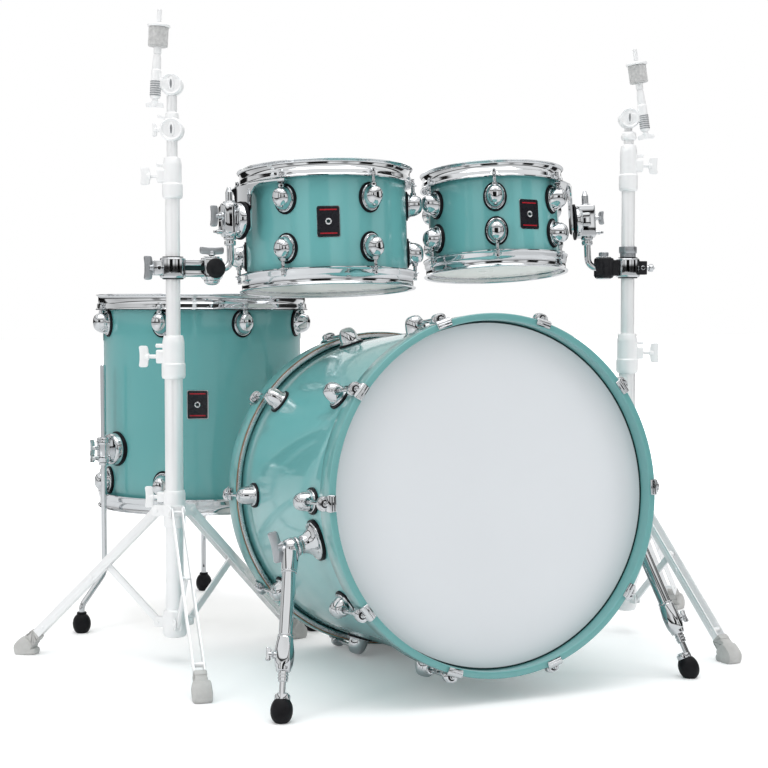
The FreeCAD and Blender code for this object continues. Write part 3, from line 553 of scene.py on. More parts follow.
def egg_lug(piece, at, dome=25.0, offset=ROD_OFFSET, collar=False):
    """Oval tension casting: flange, groove and egg-shaped dome with the rod's nose."""
    rows = []
    base = 2.5
    for scale, level in ((0.90, 0), (0.985, 0.1), (1.0, 0.8), (1.0, 2.0), (0.985, 2.7), (0.95, 3.1),
                         (0.93, 3.0), (0.915, 2.3), (0.905, 1.9), (0.895, 2.3), (0.885, 3.2)):
        rows.append([(base + level, p.x, p.y) for p in oval(LUG_WIDTH * scale, LUG_HEIGHT * scale, 44)])
    tip = base + 2.9
    turns = 11
    for step in range(turns):
        angle = math.radians(90 * (step + 0.35) / turns)
        level = tip + dome * math.sin(angle) ** 1.15
        scale = 0.88 * math.cos(angle) ** 0.54
        lean = 1.6 * math.sin(angle)
        ring = []
        for p in oval(LUG_WIDTH * scale, LUG_HEIGHT * scale, 44):
            swell = 1 + 0.07 * p.y / 24
            ring.append((level, p.x * swell, p.y + lean))
        rows.append(ring)
    rows.append([(tip + dome, 0, 1.6)])
    piece.rows(rows, CHROME, at)
    nose = [(0, 8), (6.6, 8), (6.4, 17), (5.4, 22.4), (5.2, 24.4), (4.4, 25), (3.2, 25), (3.1, 22), (0, 22)]
    piece.lathe(nose, CHROME, at @ shift(offset, 0, 0), 28)
    if collar:
        piece.sleeve([(5.2, 19.5), (7.4, 20), (7.6, 23.5), (6.6, 26.0), (3.3, 26.2), (3.3, 19.5)], CHROME,
                     at @ shift(offset, 0, 0), 0.8, 28, fine=2)


def stations(radius, height, phase, count):
    """Frames of a drum's fittings: top row, then the same ones upside down below."""
    frames = []
    for index in range(count):
        turn = spin(phase + index * 360 / count)
        frames.append(turn @ shift(radius, 0, height))
        frames.append(turn @ shift(radius, 0, -height) @ FLIP)
    return frames


def tom_rod(piece, depth, row, at):
    """Tension rod from a lug's nose to the hoop's ear, with washer and key head."""
    ear = depth / 2 + FILM - HOOP_DROP + HOOP_STEEL - row
    piece.bar((0, 0, 14), (0, 0, ear - 0.4), 2.7, STEEL_DARK, at, 16, 0.2)
    if ear > 32:
        piece.disc(3.3, 25.5, ear - 3.4, CHROME, at, 0.3, 18)
    piece.disc(4.6, ear, ear + 1.5, CHROME, at, 0.4, 24)
    piece.disc(4.2, ear + 1.5, ear + 4.8, CHROME, at, 0.8, 24)
    piece.slab(rectangle(5.6, 5.6, 0.7), ear + 4.4, ear + 12.6, CHROME, at, 0.6)


def vent_badge(piece, radius, at):
    """Plain enamel plate on the shell round the air vent; local X out of the shell, Z up."""
    def bend(points, level, scale=1.0):
        rows = []
        for p in points:
            angle = p.x * scale / radius
            rows.append(((radius + level) * math.cos(angle) - radius, (radius + level) * math.sin(angle),
                         p.y * scale))
        return rows
    plate = rectangle(41, 56, 4.0, 5)
    for shape, low, high, material, edge in (
            (plate, -0.2, 1.6, CHROME, 0.5), (rectangle(38.4, 53.4, 3.0, 4), 1.2, 1.75, BADGE_BLACK, 0.2)):
        piece.rows([bend(shape, low), bend(shape, high - edge), bend(inset(shape, edge), high)], material, at)
    for level in (-21.0, 21.0):
        line = [Vector((x, y + level)) for x, y in ((-15, -1.1), (15, -1.1), (15, 1.1), (-15, 1.1))]
        piece.rows([bend(line, 1.6), bend(line, 1.95)], BADGE_RED, at)
    eyelet = at @ facing((0, 0, 0), (1, 0, 0))
    piece.lathe([(2.6, -2), (2.7, 1.2), (3.4, 2.6), (4.6, 3.0), (5.8, 2.6), (6.2, 1.5), (6.0, 0.5),
                 (3.0, 0.2)], CHROME, eyelet, 32, closed=True)
    # dark disc of painted shade in the vent hole
    piece.disc(2.8, -1.5, 0.9, SHADOW, eyelet, 0.2, 24)


def tom(prefix, body, radius, depth, row, phase, count, at, paint=TEAL):
    """Shell, hoops, heads, lugs and rods of one tom; gives back the lugs' gaskets, not made yet."""
    skin = Piece()
    shell(skin, radius, depth, at, paint=paint)
    skin.make(prefix + "_lacquered_shell", body, prefix + "_shell", slot="shell_gloss")

    hoops = Piece()
    steel_hoop(hoops, radius, depth, phase, count, at)
    steel_hoop(hoops, radius, depth, -phase, count, at @ FLIP)
    hoops.make(prefix + "_flanged_hoops", body, prefix + "_hoops", slot="hoop_gloss", angle=50)

    heads = Piece()
    head(heads, radius, depth, HEAD_COATED, at)
    heads.make(prefix + "_batter_head", body, prefix + "_heads", slot="head_coated")
    below = Piece()
    head(below, radius, depth, HEAD_CLEAR, at @ FLIP)
    below.make(prefix + "_resonant_head", body, slot="head_coated")

    lugs, pads, rods = Piece(), Piece(), Piece()
    for spot in stations(radius, row, phase, count):
        egg_lug(lugs, at @ spot)
        conformal_pad(pads, 44, 55, 2.6, radius, at @ spot)
    for spot in stations(radius + ROD_OFFSET, row, phase, count):
        tom_rod(rods, depth, row, at @ spot)
    lugs.make(prefix + "_egg_lugs", body, prefix + "_lugs", slot="chrome")
    rods.make(prefix + "_key_rods", body, prefix + "_tension_rods", slot="chrome")
    return pads


# ------------------------------------------------------------------ bass drum

BASS_RADIUS, BASS_DEPTH, BASS_LENGTH = 279.0, 457.0, 512.0
BASS_ROW, BASS_OFFSET, BASS_LUGS = 146.0, 18.5, 10
HOOP_OUT, HOOP_IN, HOOP_RABBET, HOOP_DEEP = 292.5, 281.0, 286.5, 42.0
BASS_TILT = 4.4
BASS_AT = Vector((-31, -309, 0))
bass_z = BASS_LENGTH / 2 * math.sin(math.radians(BASS_TILT)) + HOOP_OUT * math.cos(math.radians(BASS_TILT))
BASS = shift(BASS_AT.x, BASS_AT.y, bass_z) @ spin(90 - BASS_TILT, "X")


def wood_hoop(piece, at):
    """Lacquered wooden hoop with a bare ply edge towards the shell."""
    front = BASS_LENGTH / 2
    back = front - HOOP_DEEP
    seat = BASS_DEPTH / 2 + FILM
    lip = soften([(HOOP_IN, seat), (HOOP_IN, front), (HOOP_OUT, front), (HOOP_OUT, back)], 2.6, 4,
                 closed=False)
    profile = lip[:-1] + [(HOOP_OUT, back + 1.6), (HOOP_OUT - 0.5, back + 0.5), (HOOP_OUT - 1.7, back),
                          (HOOP_RABBET + 0.5, back), (HOOP_RABBET, back + 0.5), (HOOP_RABBET, seat)]
    painted = len(lip) - 1 + 2
    materials = [TEAL_HOOP] * painted + [PLY] * (len(profile) - painted)
    piece.lathe(profile, materials, at, 200, closed=True)


def bass_head(piece, skin, at):
    """Film, a ring of painted shadow beside the hoop and the silver rim that shows between hoop and shell."""
    top = BASS_DEPTH / 2 + FILM
    piece.lathe([(0, top), (90, top), (180, top), (BASS_RADIUS - 1.0, top), (BASS_RADIUS - 0.2, top - 0.25),
                 (BASS_RADIUS - 0.2, top - 0.8), (180, top - 0.8), (0, top - 0.8)], skin, at, 160)
    # thin dark ring of painted shadow between the film and the hoop
    piece.sleeve([(BASS_RADIUS - 0.8, top - 0.5), (HOOP_IN + 0.3, top - 0.5), (HOOP_IN + 0.3, top + 0.5),
                  (BASS_RADIUS - 0.8, top + 0.35)], SHADOW, at, 0.3, 160, fine=2)
    back = BASS_LENGTH / 2 - HOOP_DEEP
    piece.sleeve([(BASS_RADIUS + 1.4, back + 0.6), (BASS_RADIUS + 3.4, back - 1.8), (288.6, back - 1.6),
                  (288.8, back - 0.2), (HOOP_RABBET - 0.3, back - 0.1), (HOOP_RABBET - 0.3, top - 0.5),
                  (BASS_RADIUS + 1.4, top - 0.5)], RIM, at, 0.9, 160)


def claw(piece, rods, at):
    """Claw hook over the hoop with ribbed lip and an eye for the rod; local X out, Z forward."""
    face = BASS_LENGTH / 2 + 0.3
    skin = HOOP_OUT + 0.3
    route = bent([(skin - 10, 0, face + 1.9), (skin + 2.1, 0, face + 1.9), (skin + 2.4, 0, face - 29)],
                 (4.5,), 7)
    rows = []
    for index, spot in enumerate(route):
        onward = (route[min(index + 1, len(route) - 1)] - route[max(index - 1, 0)]).normalized()
        part = index / (len(route) - 1)
        wide = 27.0 - 5.0 * part ** 3 - (2.0 if index == 0 else 0.0)
        thick = 2.4 if index == 0 else 3.6
        outward = Vector((-onward.z, 0, onward.x))
        rows.append([spot + outward * q.y + Vector((0, q.x, 0)) for q in rectangle(wide, thick, 1.4)])
    piece.rows(rows, CHROME, at)
    for inward in (3.2, 7.4):
        piece.bar((skin - inward, -12.0, face + 3.5), (skin - inward, 12.0, face + 3.5), 1.25, CHROME, at, 12)
    reach = BASS_RADIUS + BASS_OFFSET
    for wide, end, low, high in ((25, 9.5, -20, -9.4), (21, 8.0, -12, -7.6)):
        eye = soften([(skin, -wide / 2), (reach + end - 4, -wide / 2 + 1), (reach + end, -5),
                      (reach + end, 5), (reach + end - 4, wide / 2 - 1), (skin, wide / 2)], 5.0, 5)
        piece.slab(eye, face + low, face + high, CHROME, at, 1.4)
    head_at = at @ shift(reach, 0, face - 7.8)
    rods.disc(6.3, 0, 1.7, NYLON, head_at, 0.6, 32)
    rods.disc(3.9, 1.4, 3.4, CHROME, head_at, 0.8, 28)
    rods.slab(rectangle(5.2, 5.2, 0.7), 3.0, 8.6, CHROME, head_at, 0.7)


def bass_drum():
    """Shell, wooden hoops, heads, lugs, rods and claws; gives back the lugs' gaskets."""
    skin = Piece()
    shell(skin, BASS_RADIUS, BASS_DEPTH, BASS, 220)
    skin.make("bass_lacquered_shell", "kit", "bass_shell", slot="shell_gloss")

    hoops = Piece()
    wood_hoop(hoops, BASS)
    wood_hoop(hoops, BASS @ FLIP)
    hoops.make("bass_wood_hoops", "kit", "bass_hoops", slot="hoop_gloss")

    for name, film_material, at in (("front", HEAD_FRONT, BASS), ("rear", HEAD_COATED, BASS @ FLIP)):
        skin = Piece()
        bass_head(skin, film_material, at)
        skin.make("bass_%s_film" % name, "kit", "bass_head_" + name, slot="head_front")

    lugs, pads, rods, claws = Piece(), Piece(), Piece(), Piece()
    for spot in stations(BASS_RADIUS, BASS_ROW, 0, BASS_LUGS):
        egg_lug(lugs, BASS @ spot, 26.0, BASS_OFFSET, collar=True)
        conformal_pad(pads, 44, 55, 2.6, BASS_RADIUS, BASS @ spot)
    for spot in stations(BASS_RADIUS + BASS_OFFSET, BASS_ROW, 0, BASS_LUGS):
        rods.bar((0, 0, 14), (0, 0, 91), 2.8, STEEL_DARK, BASS @ spot, 16, 0.2)
        rods.disc(3.3, 34, 85, CHROME, BASS @ spot, 0.4, 18)
    for spot in stations(0, 0, 0, BASS_LUGS):
        claw(claws, rods, BASS @ spot)
    lugs.make("bass_egg_lugs", "kit", "bass_lugs", slot="chrome")
    rods.make("bass_key_rods", "kit", "bass_tension_rods", slot="chrome")
    claws.make("bass_claw_hooks", "kit", "bass_claws", slot="chrome")
    return pads


def rubber_egg(piece, foot, lean, radius=17.5, tall=21.5, collar=True):
    """Egg-shaped rubber tip standing on the floor under a rod that leans."""
    at = facing((foot[0], foot[1], tall - 4), lean)
    rows = [[(0, 0, -tall)]]
    turns = 18
    for step in range(1, turns):
        angle = math.pi * step / turns
        size = radius * math.sin(angle) ** 0.92
        level = -tall * math.cos(angle)
        if level > tall * 0.80:
            break
        rows.append([polar(15 * i, size, level) for i in range(24)])
    neck = tall * 0.86
    rows.append([polar(15 * i, radius * 0.52, neck) for i in range(24)])
    rows.append([(0, 0, neck)])
    start = len(piece.points)
    piece.rows(rows, RUBBER, at)
    for point in piece.points[start:]:
        point.z = max(point.z, 0.0)
    piece.disc(radius * 0.56, 0.0, 1.4, RUBBER, shift(foot[0], foot[1]), 0.5, 40)
    if collar:
        piece.disc(radius * 0.70, neck - 3, neck + 5.5, CHROME, at, 1.2, 36)
        piece.disc(radius * 0.54, neck + 5, neck + 8, CHROME, at, 1.0, 36)


SPUR_STATION = 141.0
SPUR_PIVOT_OUT = 46.0
SPUR_FOOT = Vector((368, -247, 34))
BRACKET_TEETH = 28


def spurs():
    """Folding front legs: bracket on the shell, clamped outer tube, and sliding rod with a rubber tip."""
    brackets = Piece()
    for side, angle, sign in (("left", 193.0, -1), ("right", -13.0, 1)):
        spot = BASS @ spin(angle) @ shift(BASS_RADIUS, 0, SPUR_STATION)
        conformal_pad(brackets, 68, 68, 3.2, BASS_RADIUS, spot)
        base = spot @ facing((0, 0, 0), (1, 0, 0), (0, 1, 0))
        brackets.turned([(0, 3.1), (31, 3.1), (31, 6.4), (26, 8.2), (21, 12.5), (16.4, 19), (14.6, 25),
                         (14.4, 31), (15.6, 33), (15.6, 37.4), (0, 37.4)], CHROME, base, 1.8, 64)
        for tooth in range(BRACKET_TEETH):
            turn = tooth * 360 / BRACKET_TEETH
            brackets.bar(polar(turn, 13.0, 36.0), polar(turn, 13.0, 37.8), 0.9, CHROME, base, 8, 0.2)
        origin = spot.translation
        out = (spot.to_3x3() @ Vector((1, 0, 0))).normalized()
        pivot = origin + out * SPUR_PIVOT_OUT
        foot = BASS_AT + Vector((sign * SPUR_FOOT.x, SPUR_FOOT.y, SPUR_FOOT.z))
        down = (foot - pivot).normalized()
        length = (foot - pivot).length

        swing = Piece()
        hub = facing(origin + out * 38, out)
        swing.turned([(0, 0.3), (16.0, 0.3), (16.4, 5), (16.0, 14), (13.5, 17.6), (8, 18.4), (0, 18.4)],
                     CHROME, hub, 2.2, 48, fine=4)
        swing.disc(9.0, 18, 24, CHROME, hub, 1.0, 36)
        swing.wing(origin + out * 61 + UP * 9, out, 50, CAST_GREY, UP, 15, 7.5, 6.5, 4.0)
        tube_end = pivot + down * (0.62 * length)
        clamp_end = pivot + down * (0.82 * length)
        swing.tube([pivot + down * 4, pivot + down * 20, pivot + down * 38], [14.8, 14.0, 12.4], CHROME,
                   steps=40)
        swing.bar(pivot + down * 34, tube_end, 10.8, CHROME, steps=40)
        swing.disc(12.8, 38, 41.5, CHROME, facing(pivot, down), 1.0, 40)
        swing.disc(12.4, -9, -5.5, CHROME, facing(tube_end, down), 0.9, 40)
        grip = facing(tube_end - down * 6, down, (0, -1, 0))
        long = (clamp_end - tube_end).length + 6
        rows = []
        for part, size, facets in ((0.0, 11.4, 0.0), (0.03, 12.4, 0.0), (0.07, 12.8, 0.1), (0.18, 14.0, 0.7),
                                   (0.40, 16.2, 1.2), (0.66, 16.0, 1.2), (0.80, 14.8, 0.8), (0.86, 13.0, 0.2),
                                   (0.90, 12.0, 0), (0.97, 11.6, 0), (1.0, 10.8, 0)):
            rows.append([polar(7.5 * i,
                               size * (1 - 0.12 * facets * abs(math.sin(math.radians(15 * i))) ** 1.5),
                               long * part) for i in range(48)])
        swing.rows(rows, CHROME, grip)
        middle = (tube_end + clamp_end) * 0.5
        outward = (Vector((sign, 0, 0)) - down * (down.x * sign)).normalized()
        swing.disc(6.4, 10, 18.5, CHROME, facing(middle, outward), 1.0, 28)
        swing.bar(middle + outward * 17, middle + outward * 23, 3.4, STEEL_DARK)
        swing.wing(middle + outward * 21, outward, 22, CHROME, down, 7.5, 5.0, 4.2, 2.0)
        swing.make("spur_%s_swing_tube" % side, "spur_tube_" + side, "spur_tube_" + side, slot="chrome")

        rod = Piece()
        rod.tube([pivot + down * (0.30 * length), clamp_end + down * 16], 7.4, CHROME, steps=32)
        for ring_at in (4.0, 9.0):
            rod.disc(8.4, 0, 2.2, CHROME, facing(clamp_end + down * ring_at, down), 0.6, 32)
        rod.bar(clamp_end + down * 10, foot + down * 6, 4.9, CHROME, steps=28)
        rubber_egg(rod, foot, down * -1)
        rod.make("spur_%s_rod_and_tip" % side, "spur_rod_" + side, "spur_rod_" + side, slot="chrome")
    brackets.make("bass_spur_mounts", "kit", "bass_spur_brackets", slot="chrome")


# ------------------------------------------------------------------ floor tom

FLOOR_AT = Vector((-264, 304, 0))
FLOOR = shift(FLOOR_AT.x, FLOOR_AT.y, 445.4)
FLOOR_RADIUS, FLOOR_DEPTH = 200.0, 406
LEG_ANGLES = (196.4, 302.0, 73.4)
LEG_STANDOFF = 31.0
LEG_SPREAD = 282.0


def leg_bracket(piece, at):
    """Bracket and clamp of one floor tom leg; local X out of the shell, Z up."""
    conformal_pad(piece, 68, 68, 3.2, FLOOR_RADIUS, at)
    base = at @ facing((0, 0, 0), (1, 0, 0))
    piece.turned([(0, 3.1), (31, 3.1), (31.4, 7), (30.2, 15), (27.5, 18.6), (0, 18.6)], CHROME, base, 2.2,
                 64, fine=4)
    piece.block(20, 24, 40, CHROME, at @ shift(21, 0, 0), 2.0, 3.0)
    grip = at @ shift(LEG_STANDOFF, 0, 0)
    piece.sleeve([(5.9, -24), (12.0, -24), (12.8, -21), (12.8, 21), (12.0, 24), (5.9, 24)], CHROME, grip,
                 1.2, 40)
    for level in (-16, 14):
        piece.disc(14.0, level - 4, level + 4, CHROME, grip, 1.4, 40)
    piece.sleeve([(5.9, -31), (9.4, -31), (9.8, -25), (5.9, -25)], CHROME, grip, 0.8, 32)
    out = at.to_3x3() @ Vector((1, 0, 0))
    for level, span in ((4, 34), (-16, 16)):
        piece.bar((40, 0, level), (53, 0, level), 4.4, CHROME, at)
        piece.wing(at @ Vector((51, 0, level)), out, span, CHROME, UP, 8.5, 5.5, 5.0, 2.0)


def floor_tom():
    """Deep tom on three bent legs; gives back its lugs' gaskets."""
    # the floor tom's shell takes the teal lacquer darkened with painted shade
    pads = tom("floor_tom", "kit", FLOOR_RADIUS, FLOOR_DEPTH, 156, 5.9, 8, FLOOR, TEAL_SHADED)
    brackets = Piece()
    near = FLOOR_RADIUS + LEG_STANDOFF
    for index, angle in enumerate(LEG_ANGLES, start=1):
        leg_bracket(brackets, FLOOR @ spin(angle) @ shift(FLOOR_RADIUS, 0, -91))
        foot = FLOOR_AT + polar(angle, LEG_SPREAD)
        leg = Piece()
        route = [FLOOR_AT + polar(angle, near, 520), FLOOR_AT + polar(angle, near, 112),
                 FLOOR_AT + polar(angle, LEG_SPREAD, 52), FLOOR_AT + polar(angle, LEG_SPREAD, 12)]
        leg.tube(bent(route, (30, 26), 8), 5.6, CHROME, steps=28, edge=1.2)
        rubber_egg(leg, foot, UP, collar=False)
        leg.disc(9.4, 35.5, 40.5, RUBBER, shift(foot.x, foot.y, 0), 1.6, 32)
        body = "floor_tom_leg_%d" % index
        leg.make("floor_leg_%d_and_tip" % index, body, body, slot="chrome")
    brackets.make("floor_leg_clamps", "kit", "floor_tom_leg_brackets", slot="chrome")
    return pads


# ------------------------------------------------------------------ stands

BASE_TUBE, MIDDLE_TUBE, TOP_TUBE = 15.9, 12.7, 9.5
HUB_Z, PIVOT_Z, PIVOT_RADIUS = 72.0, 272.0, 31.0
# level way the audience looks; the tilters' discs turn their faces to it
VIEW_WAY = Vector((0.3946, 0.9189, 0)).normalized()
# where each column stands, and the turn of its first leg
POLES = {"left": Vector((-437, -97, 0)), "right": Vector((435, -197, 0))}
TURNS = {"left": 262.7, "right": 276.9}


def strip_leg(piece, pivot, foot, across):
    """Pair of flat strips with rounded ends, rivets and spacer."""
    run = foot - pivot
    along = run.normalized()
    length = run.length
    for side in (-1, 1):
        at = facing(pivot + across * (side * 8.8), across, along)
        half = 8.0
        outline = soften([(-6, -half), (length + 6, -half), (length + 6, half), (-6, half)], 5.0, 5)
        piece.slab(outline, -1.3, 1.3, STAND, at, 0.6)
        rib = soften([(16, -3.2), (length - 30, -3.2), (length - 30, 3.2), (16, 3.2)], 3.0, 4)
        piece.slab(rib, 1.0 if side > 0 else -1.8, 1.8 if side > 0 else -1.0, STAND, at, 0.5)
    for spot, size in ((0.0, 5.2), (0.5, 4.2), (0.88, 3.4)):
        middle = pivot + run * spot
        for side in (-1, 1):
            piece.disc(size, 0, 2.4, STAND_CAST, facing(middle + across * (side * 9.6), across * side), 0.9,
                       24)
    piece.bar(pivot - across * 14, pivot + across * 14, 3.0, STAND_CAST)
    piece.bar(pivot + run * 0.88 - across * 9, pivot + run * 0.88 + across * 9, 4.6, STAND_CAST)


def stepped_foot(piece, foot, along, out, across):
    """Grey rubber foot: ribbed neck over the leg and a wide rounded shoe with a flat sole."""
    at = facing(foot, across, along)
    neck = [(-27, -10), (-21, -11.4), (-17, -11.4), (-17, -10.4), (-13, -10.4), (-13, -12), (0, -12.5),
            (0, 12.5), (-13, 12), (-13, 10.4), (-17, 10.4), (-17, 11.4), (-21, 11.4), (-27, 10)]
    shoe = [(-8, -13), (6, -15.5), (22, -15), (30, -4), (30, 5), (22, 15), (6, 15.5), (-8, 13)]
    start = len(piece.points)
    piece.slab(soften(neck, 1.0, 2), -10.8, 10.8, GREY_RUBBER, at, 2.4)
    piece.slab(soften(shoe, 9.0, 6), -15.5, 15.5, GREY_RUBBER, at, 4.5)
    for point in piece.points[start:]:
        point.z = max(point.z, 0.0)
    sole = soften([(-17, -14), (15, -15.5), (25, -10), (25, 10), (15, 15.5), (-17, 14)], 8.0, 6)
    flat = facing((foot.x, foot.y, 0), UP, out)
    piece.slab(sole, 0, 12, GREY_RUBBER, flat, 4.0)


def collar(piece, base, low, high, outer, inner, bolt_way, bolt_z, reach, span):
    """Two-step tube clamp with split lug, wing bolt and memory screw."""
    at = shift(base.x, base.y, 0)
    step = low + (high - low) * 0.34
    piece.sleeve([(inner, low), (outer - 1.4, low), (outer, low + 5), (outer, step),
                  (outer - 1.6, step + 2), (outer - 1.6, high - 12), (outer - 4, high), (inner, high)],
                 STAND_CAST, at, 1.6, 48)
    bolt = base + UP * bolt_z
    lug = facing(bolt, bolt_way)
    piece.block(24, 19, outer + 9, STAND_CAST, lug @ shift(0, 0, (outer + 9) / 2), 2.0, 4.0)
    piece.bar(bolt + bolt_way * (outer + 6), bolt + bolt_way * (outer + reach + 8), 3.6, STAND_CAST)
    piece.wing(bolt + bolt_way * (outer + reach + 4), bolt_way, span, STAND_CAST, UP, 15, 6.0, 5.5, 3.5)
    screw = base + UP * (bolt_z + 19)
    if bolt_z + 24 < high:
        piece.bar(screw + bolt_way * (outer - 3), screw + bolt_way * (outer + 10), 3.6, STAND_CAST)
        handle = screw + bolt_way * (outer + 8)
        across = bolt_way.cross(UP) * 7
        piece.bar(handle - across, handle + across, 2.2, STAND_CAST, steps=14)


def slotted_disc(piece, centre, toward, radius, low, high):
    """Ratchet housing disc: raised ring and an oval slot face on the audience side."""
    at = facing(centre, toward * -1, UP)
    piece.turned([(0, low), (radius - 2, low), (radius, low + 2.5), (radius, high - 3), (radius - 2, high),
                  (radius * 0.80, high), (radius * 0.76, high - 1.6), (0, high - 1.6)], STAND_CAST, at, 1.0,
                 56)
    slot = oval(radius * 1.15, radius * 0.50, 36)
    piece.slab(slot, high - 2.4, high + 0.8, STAND_CAST, at, 1.4)
    piece.slab(oval(radius * 0.78, radius * 0.20, 28), high + 0.4, high + 1.3, CAST_GREY, at, 0.3)


def stand_column(prefix, base, bolt_way, angles):
    """Tube on the floor with the braces' hub and the height collar."""
    at = shift(base.x, base.y, 0)
    column = Piece()
    column.sleeve([(14.4, 50), (BASE_TUBE, 50), (BASE_TUBE, 527), (14.4, 527)], STAND, at, 0.6, 48, fine=2)
    column.sleeve([(15.0, 47), (18.5, 47), (21, 52), (22, 58), (22, 84), (20, 94), (15.95, 96), (15.0, 96)],
                  STAND_CAST, at, 1.4, 48)
    column.disc(15.0, 46, 51, RUBBER, at, 1.5, 40)
    for angle in angles:
        out, across = polar(angle), polar(angle + 90)
        for sign in (-1, 1):
            ear = facing(base + UP * HUB_Z + out * 25 + across * (sign * 4.8), across, out)
            outline = soften([(-13, -9), (13, -9), (13, 9), (-13, 9)], 5.0, 4)
            column.slab(outline, -1.6, 1.6, STAND_CAST, ear, 0.7)
    collar(column, base, 506, 582, 21.0, 12.8, bolt_way, 545, 18, 38)
    column.make(prefix + "column", "kit", prefix + "base", slot="stand_metal")


def leg_collar(prefix, base, bolt_way, angles):
    """Collar that slides on the column and carries the legs' pivots."""
    at = shift(base.x, base.y, 0)
    sleeve = Piece()
    sleeve.sleeve([(16.0, 242), (18.6, 242), (19.5, 246), (19.5, 262), (20.6, 264), (20.6, 281),
                   (19.5, 283), (19.5, 302), (18, 308), (16.0, 308)], STAND_CAST, at, 1.2, 48)
    for angle in angles:
        out, across = polar(angle), polar(angle + 90)
        for sign in (-1, 1):
            ear = facing(base + UP * PIVOT_Z + out * 25 + across * (sign * 12.1), across, out)
            outline = soften([(-13, -10), (13, -10), (13, 10), (-13, 10)], 5.5, 4)
            sleeve.slab(outline, -1.5, 1.5, STAND_CAST, ear, 0.6)
            sleeve.disc(4.6, 1.3, 3.2, STAND_CAST,
                        facing(base + UP * PIVOT_Z + out * PIVOT_RADIUS + across * (sign * 12.1),
                               across * sign), 0.8, 20)
    lug = facing(base + UP * (PIVOT_Z + 24), bolt_way)
    sleeve.block(18, 17, 14, STAND_CAST, lug @ shift(0, 0, 23), 1.6, 3.0)
    bolt = base + UP * (PIVOT_Z + 24)
    sleeve.bar(bolt + bolt_way * 26, bolt + bolt_way * 38, 3.6, STAND_CAST)
    sleeve.wing(bolt + bolt_way * 37, bolt_way, 38, STAND_CAST, UP, 13, 6.0, 5.2, 2.5)
    sleeve.make(prefix + "spreader", prefix + "leg_collar", prefix + "leg_collar", slot="stand_metal")


def leg_and_brace(prefix, index, base, angle):
    """One strip leg with its foot, and the brace from the hub to the leg's middle."""
    out, across = polar(angle), polar(angle + 90)
    pivot = base + out * PIVOT_RADIUS + UP * PIVOT_Z
    foot = base + out * 285 + UP * 21
    along = (foot - pivot).normalized()
    leg = Piece()
    strip_leg(leg, pivot, foot, across)
    stepped_foot(leg, foot, along, out, across)
    body = "%sleg_%d" % (prefix, index)
    leg.make("%sstrip_leg_%d" % (prefix, index), body, body, slot="stand_legs")
    low = base + out * PIVOT_RADIUS + UP * HUB_Z
    slope = math.atan2((foot - pivot).dot(out), pivot.z - foot.z)
    half_span = (PIVOT_Z - HUB_Z) / 2 / math.cos(slope)
    high = low + out * (half_span * math.sin(slope)) + UP * ((PIVOT_Z - HUB_Z) / 2)
    lean = (high - low).normalized()
    bar = Piece()
    outline = soften([(-5, -6.5), (half_span + 5, -6.5), (half_span + 5, 6.5), (-5, 6.5)], 5.0, 5)
    bar.slab(outline, -2.5, 2.5, STAND, facing(low, across, lean), 1.0)
    bar.bar(high - across * 7, high + across * 7, 3.0, STAND_CAST)
    bar.bar(low - across * 8.5, low + across * 8.5, 3.0, STAND_CAST)
    body = "%sbrace_%d" % (prefix, index)
    bar.make("%sstrut_%d" % (prefix, index), body, body, slot="stand_legs")


def poles(prefix, base, bolt_way, upper, upper_height, disc_z, lower_discs, stem_top, tilt_side):
    """Middle tube with its collar, and top tube with the fixed half of the tilter's hinge."""
    at = shift(base.x, base.y, 0)
    middle = Piece()
    middle.sleeve([(11.2, 320), (MIDDLE_TUBE, 320), (MIDDLE_TUBE, upper + 4), (11.2, upper + 4)], STAND, at,
                  0.5, 44, fine=2)
    collar(middle, base, upper, upper + upper_height, 18.0, 9.6, bolt_way, upper + upper_height * 0.55, 16,
           32)
    middle.make(prefix + "middle_pole", prefix + "middle_tube", prefix + "middle_tube", slot="stand_metal")

    top = Piece()
    top.bar(base + UP * (upper - 130), base + UP * stem_top, TOP_TUBE, STAND, steps=40)
    for lower in lower_discs:
        centre = base + UP * lower
        slotted_disc(top, centre, VIEW_WAY, 21, -12.5, 12.5)
        top.disc(19, -13, -9, STAND_CAST, facing(centre, VIEW_WAY * -1), 1.5, 48)
        top.bar(centre + UP * 12, base + UP * (disc_z - 20), 9, STAND, steps=36)
        top.sleeve([(9.1, 0), (12.5, 0), (11.5, 12), (9.1, 14)], STAND_CAST, facing(centre + UP * 17, UP),
                   0.8, 36, fine=2)
        across = UP.cross(VIEW_WAY)
        top.bar(centre + across * 19, centre + across * 30, 4.2, STAND_CAST)
        top.wing(centre + across * 27, across, 24, STAND_CAST, UP, 7.5, 5, 4.4, 1.5)
        top.bar(centre + across * 12 + UP * 20, centre + across * 26 + UP * 24, 2.4, STAND_CAST, steps=14)
    hub = base + UP * disc_z
    top.disc(20, 1.4, 12.8, STAND_CAST, facing(hub, VIEW_WAY), 2.2, 52)
    across = UP.cross(VIEW_WAY) * tilt_side
    upright = facing(hub + VIEW_WAY * 7.2 - UP * 22, UP, across)
    top.block(15, 11.4, 24, STAND_CAST, upright, 2.0, 3.0)
    if not lower_discs:
        top.sleeve([(9.6, 0), (13.5, 0), (15, 5), (13.5, 14), (9.6, 16)], STAND_CAST,
                   facing(base + UP * (stem_top - 16), UP), 1.2, 36, fine=2)
    top.make(prefix + "top_pole", prefix + "top_tube", prefix + "top_tube", slot="stand_metal")


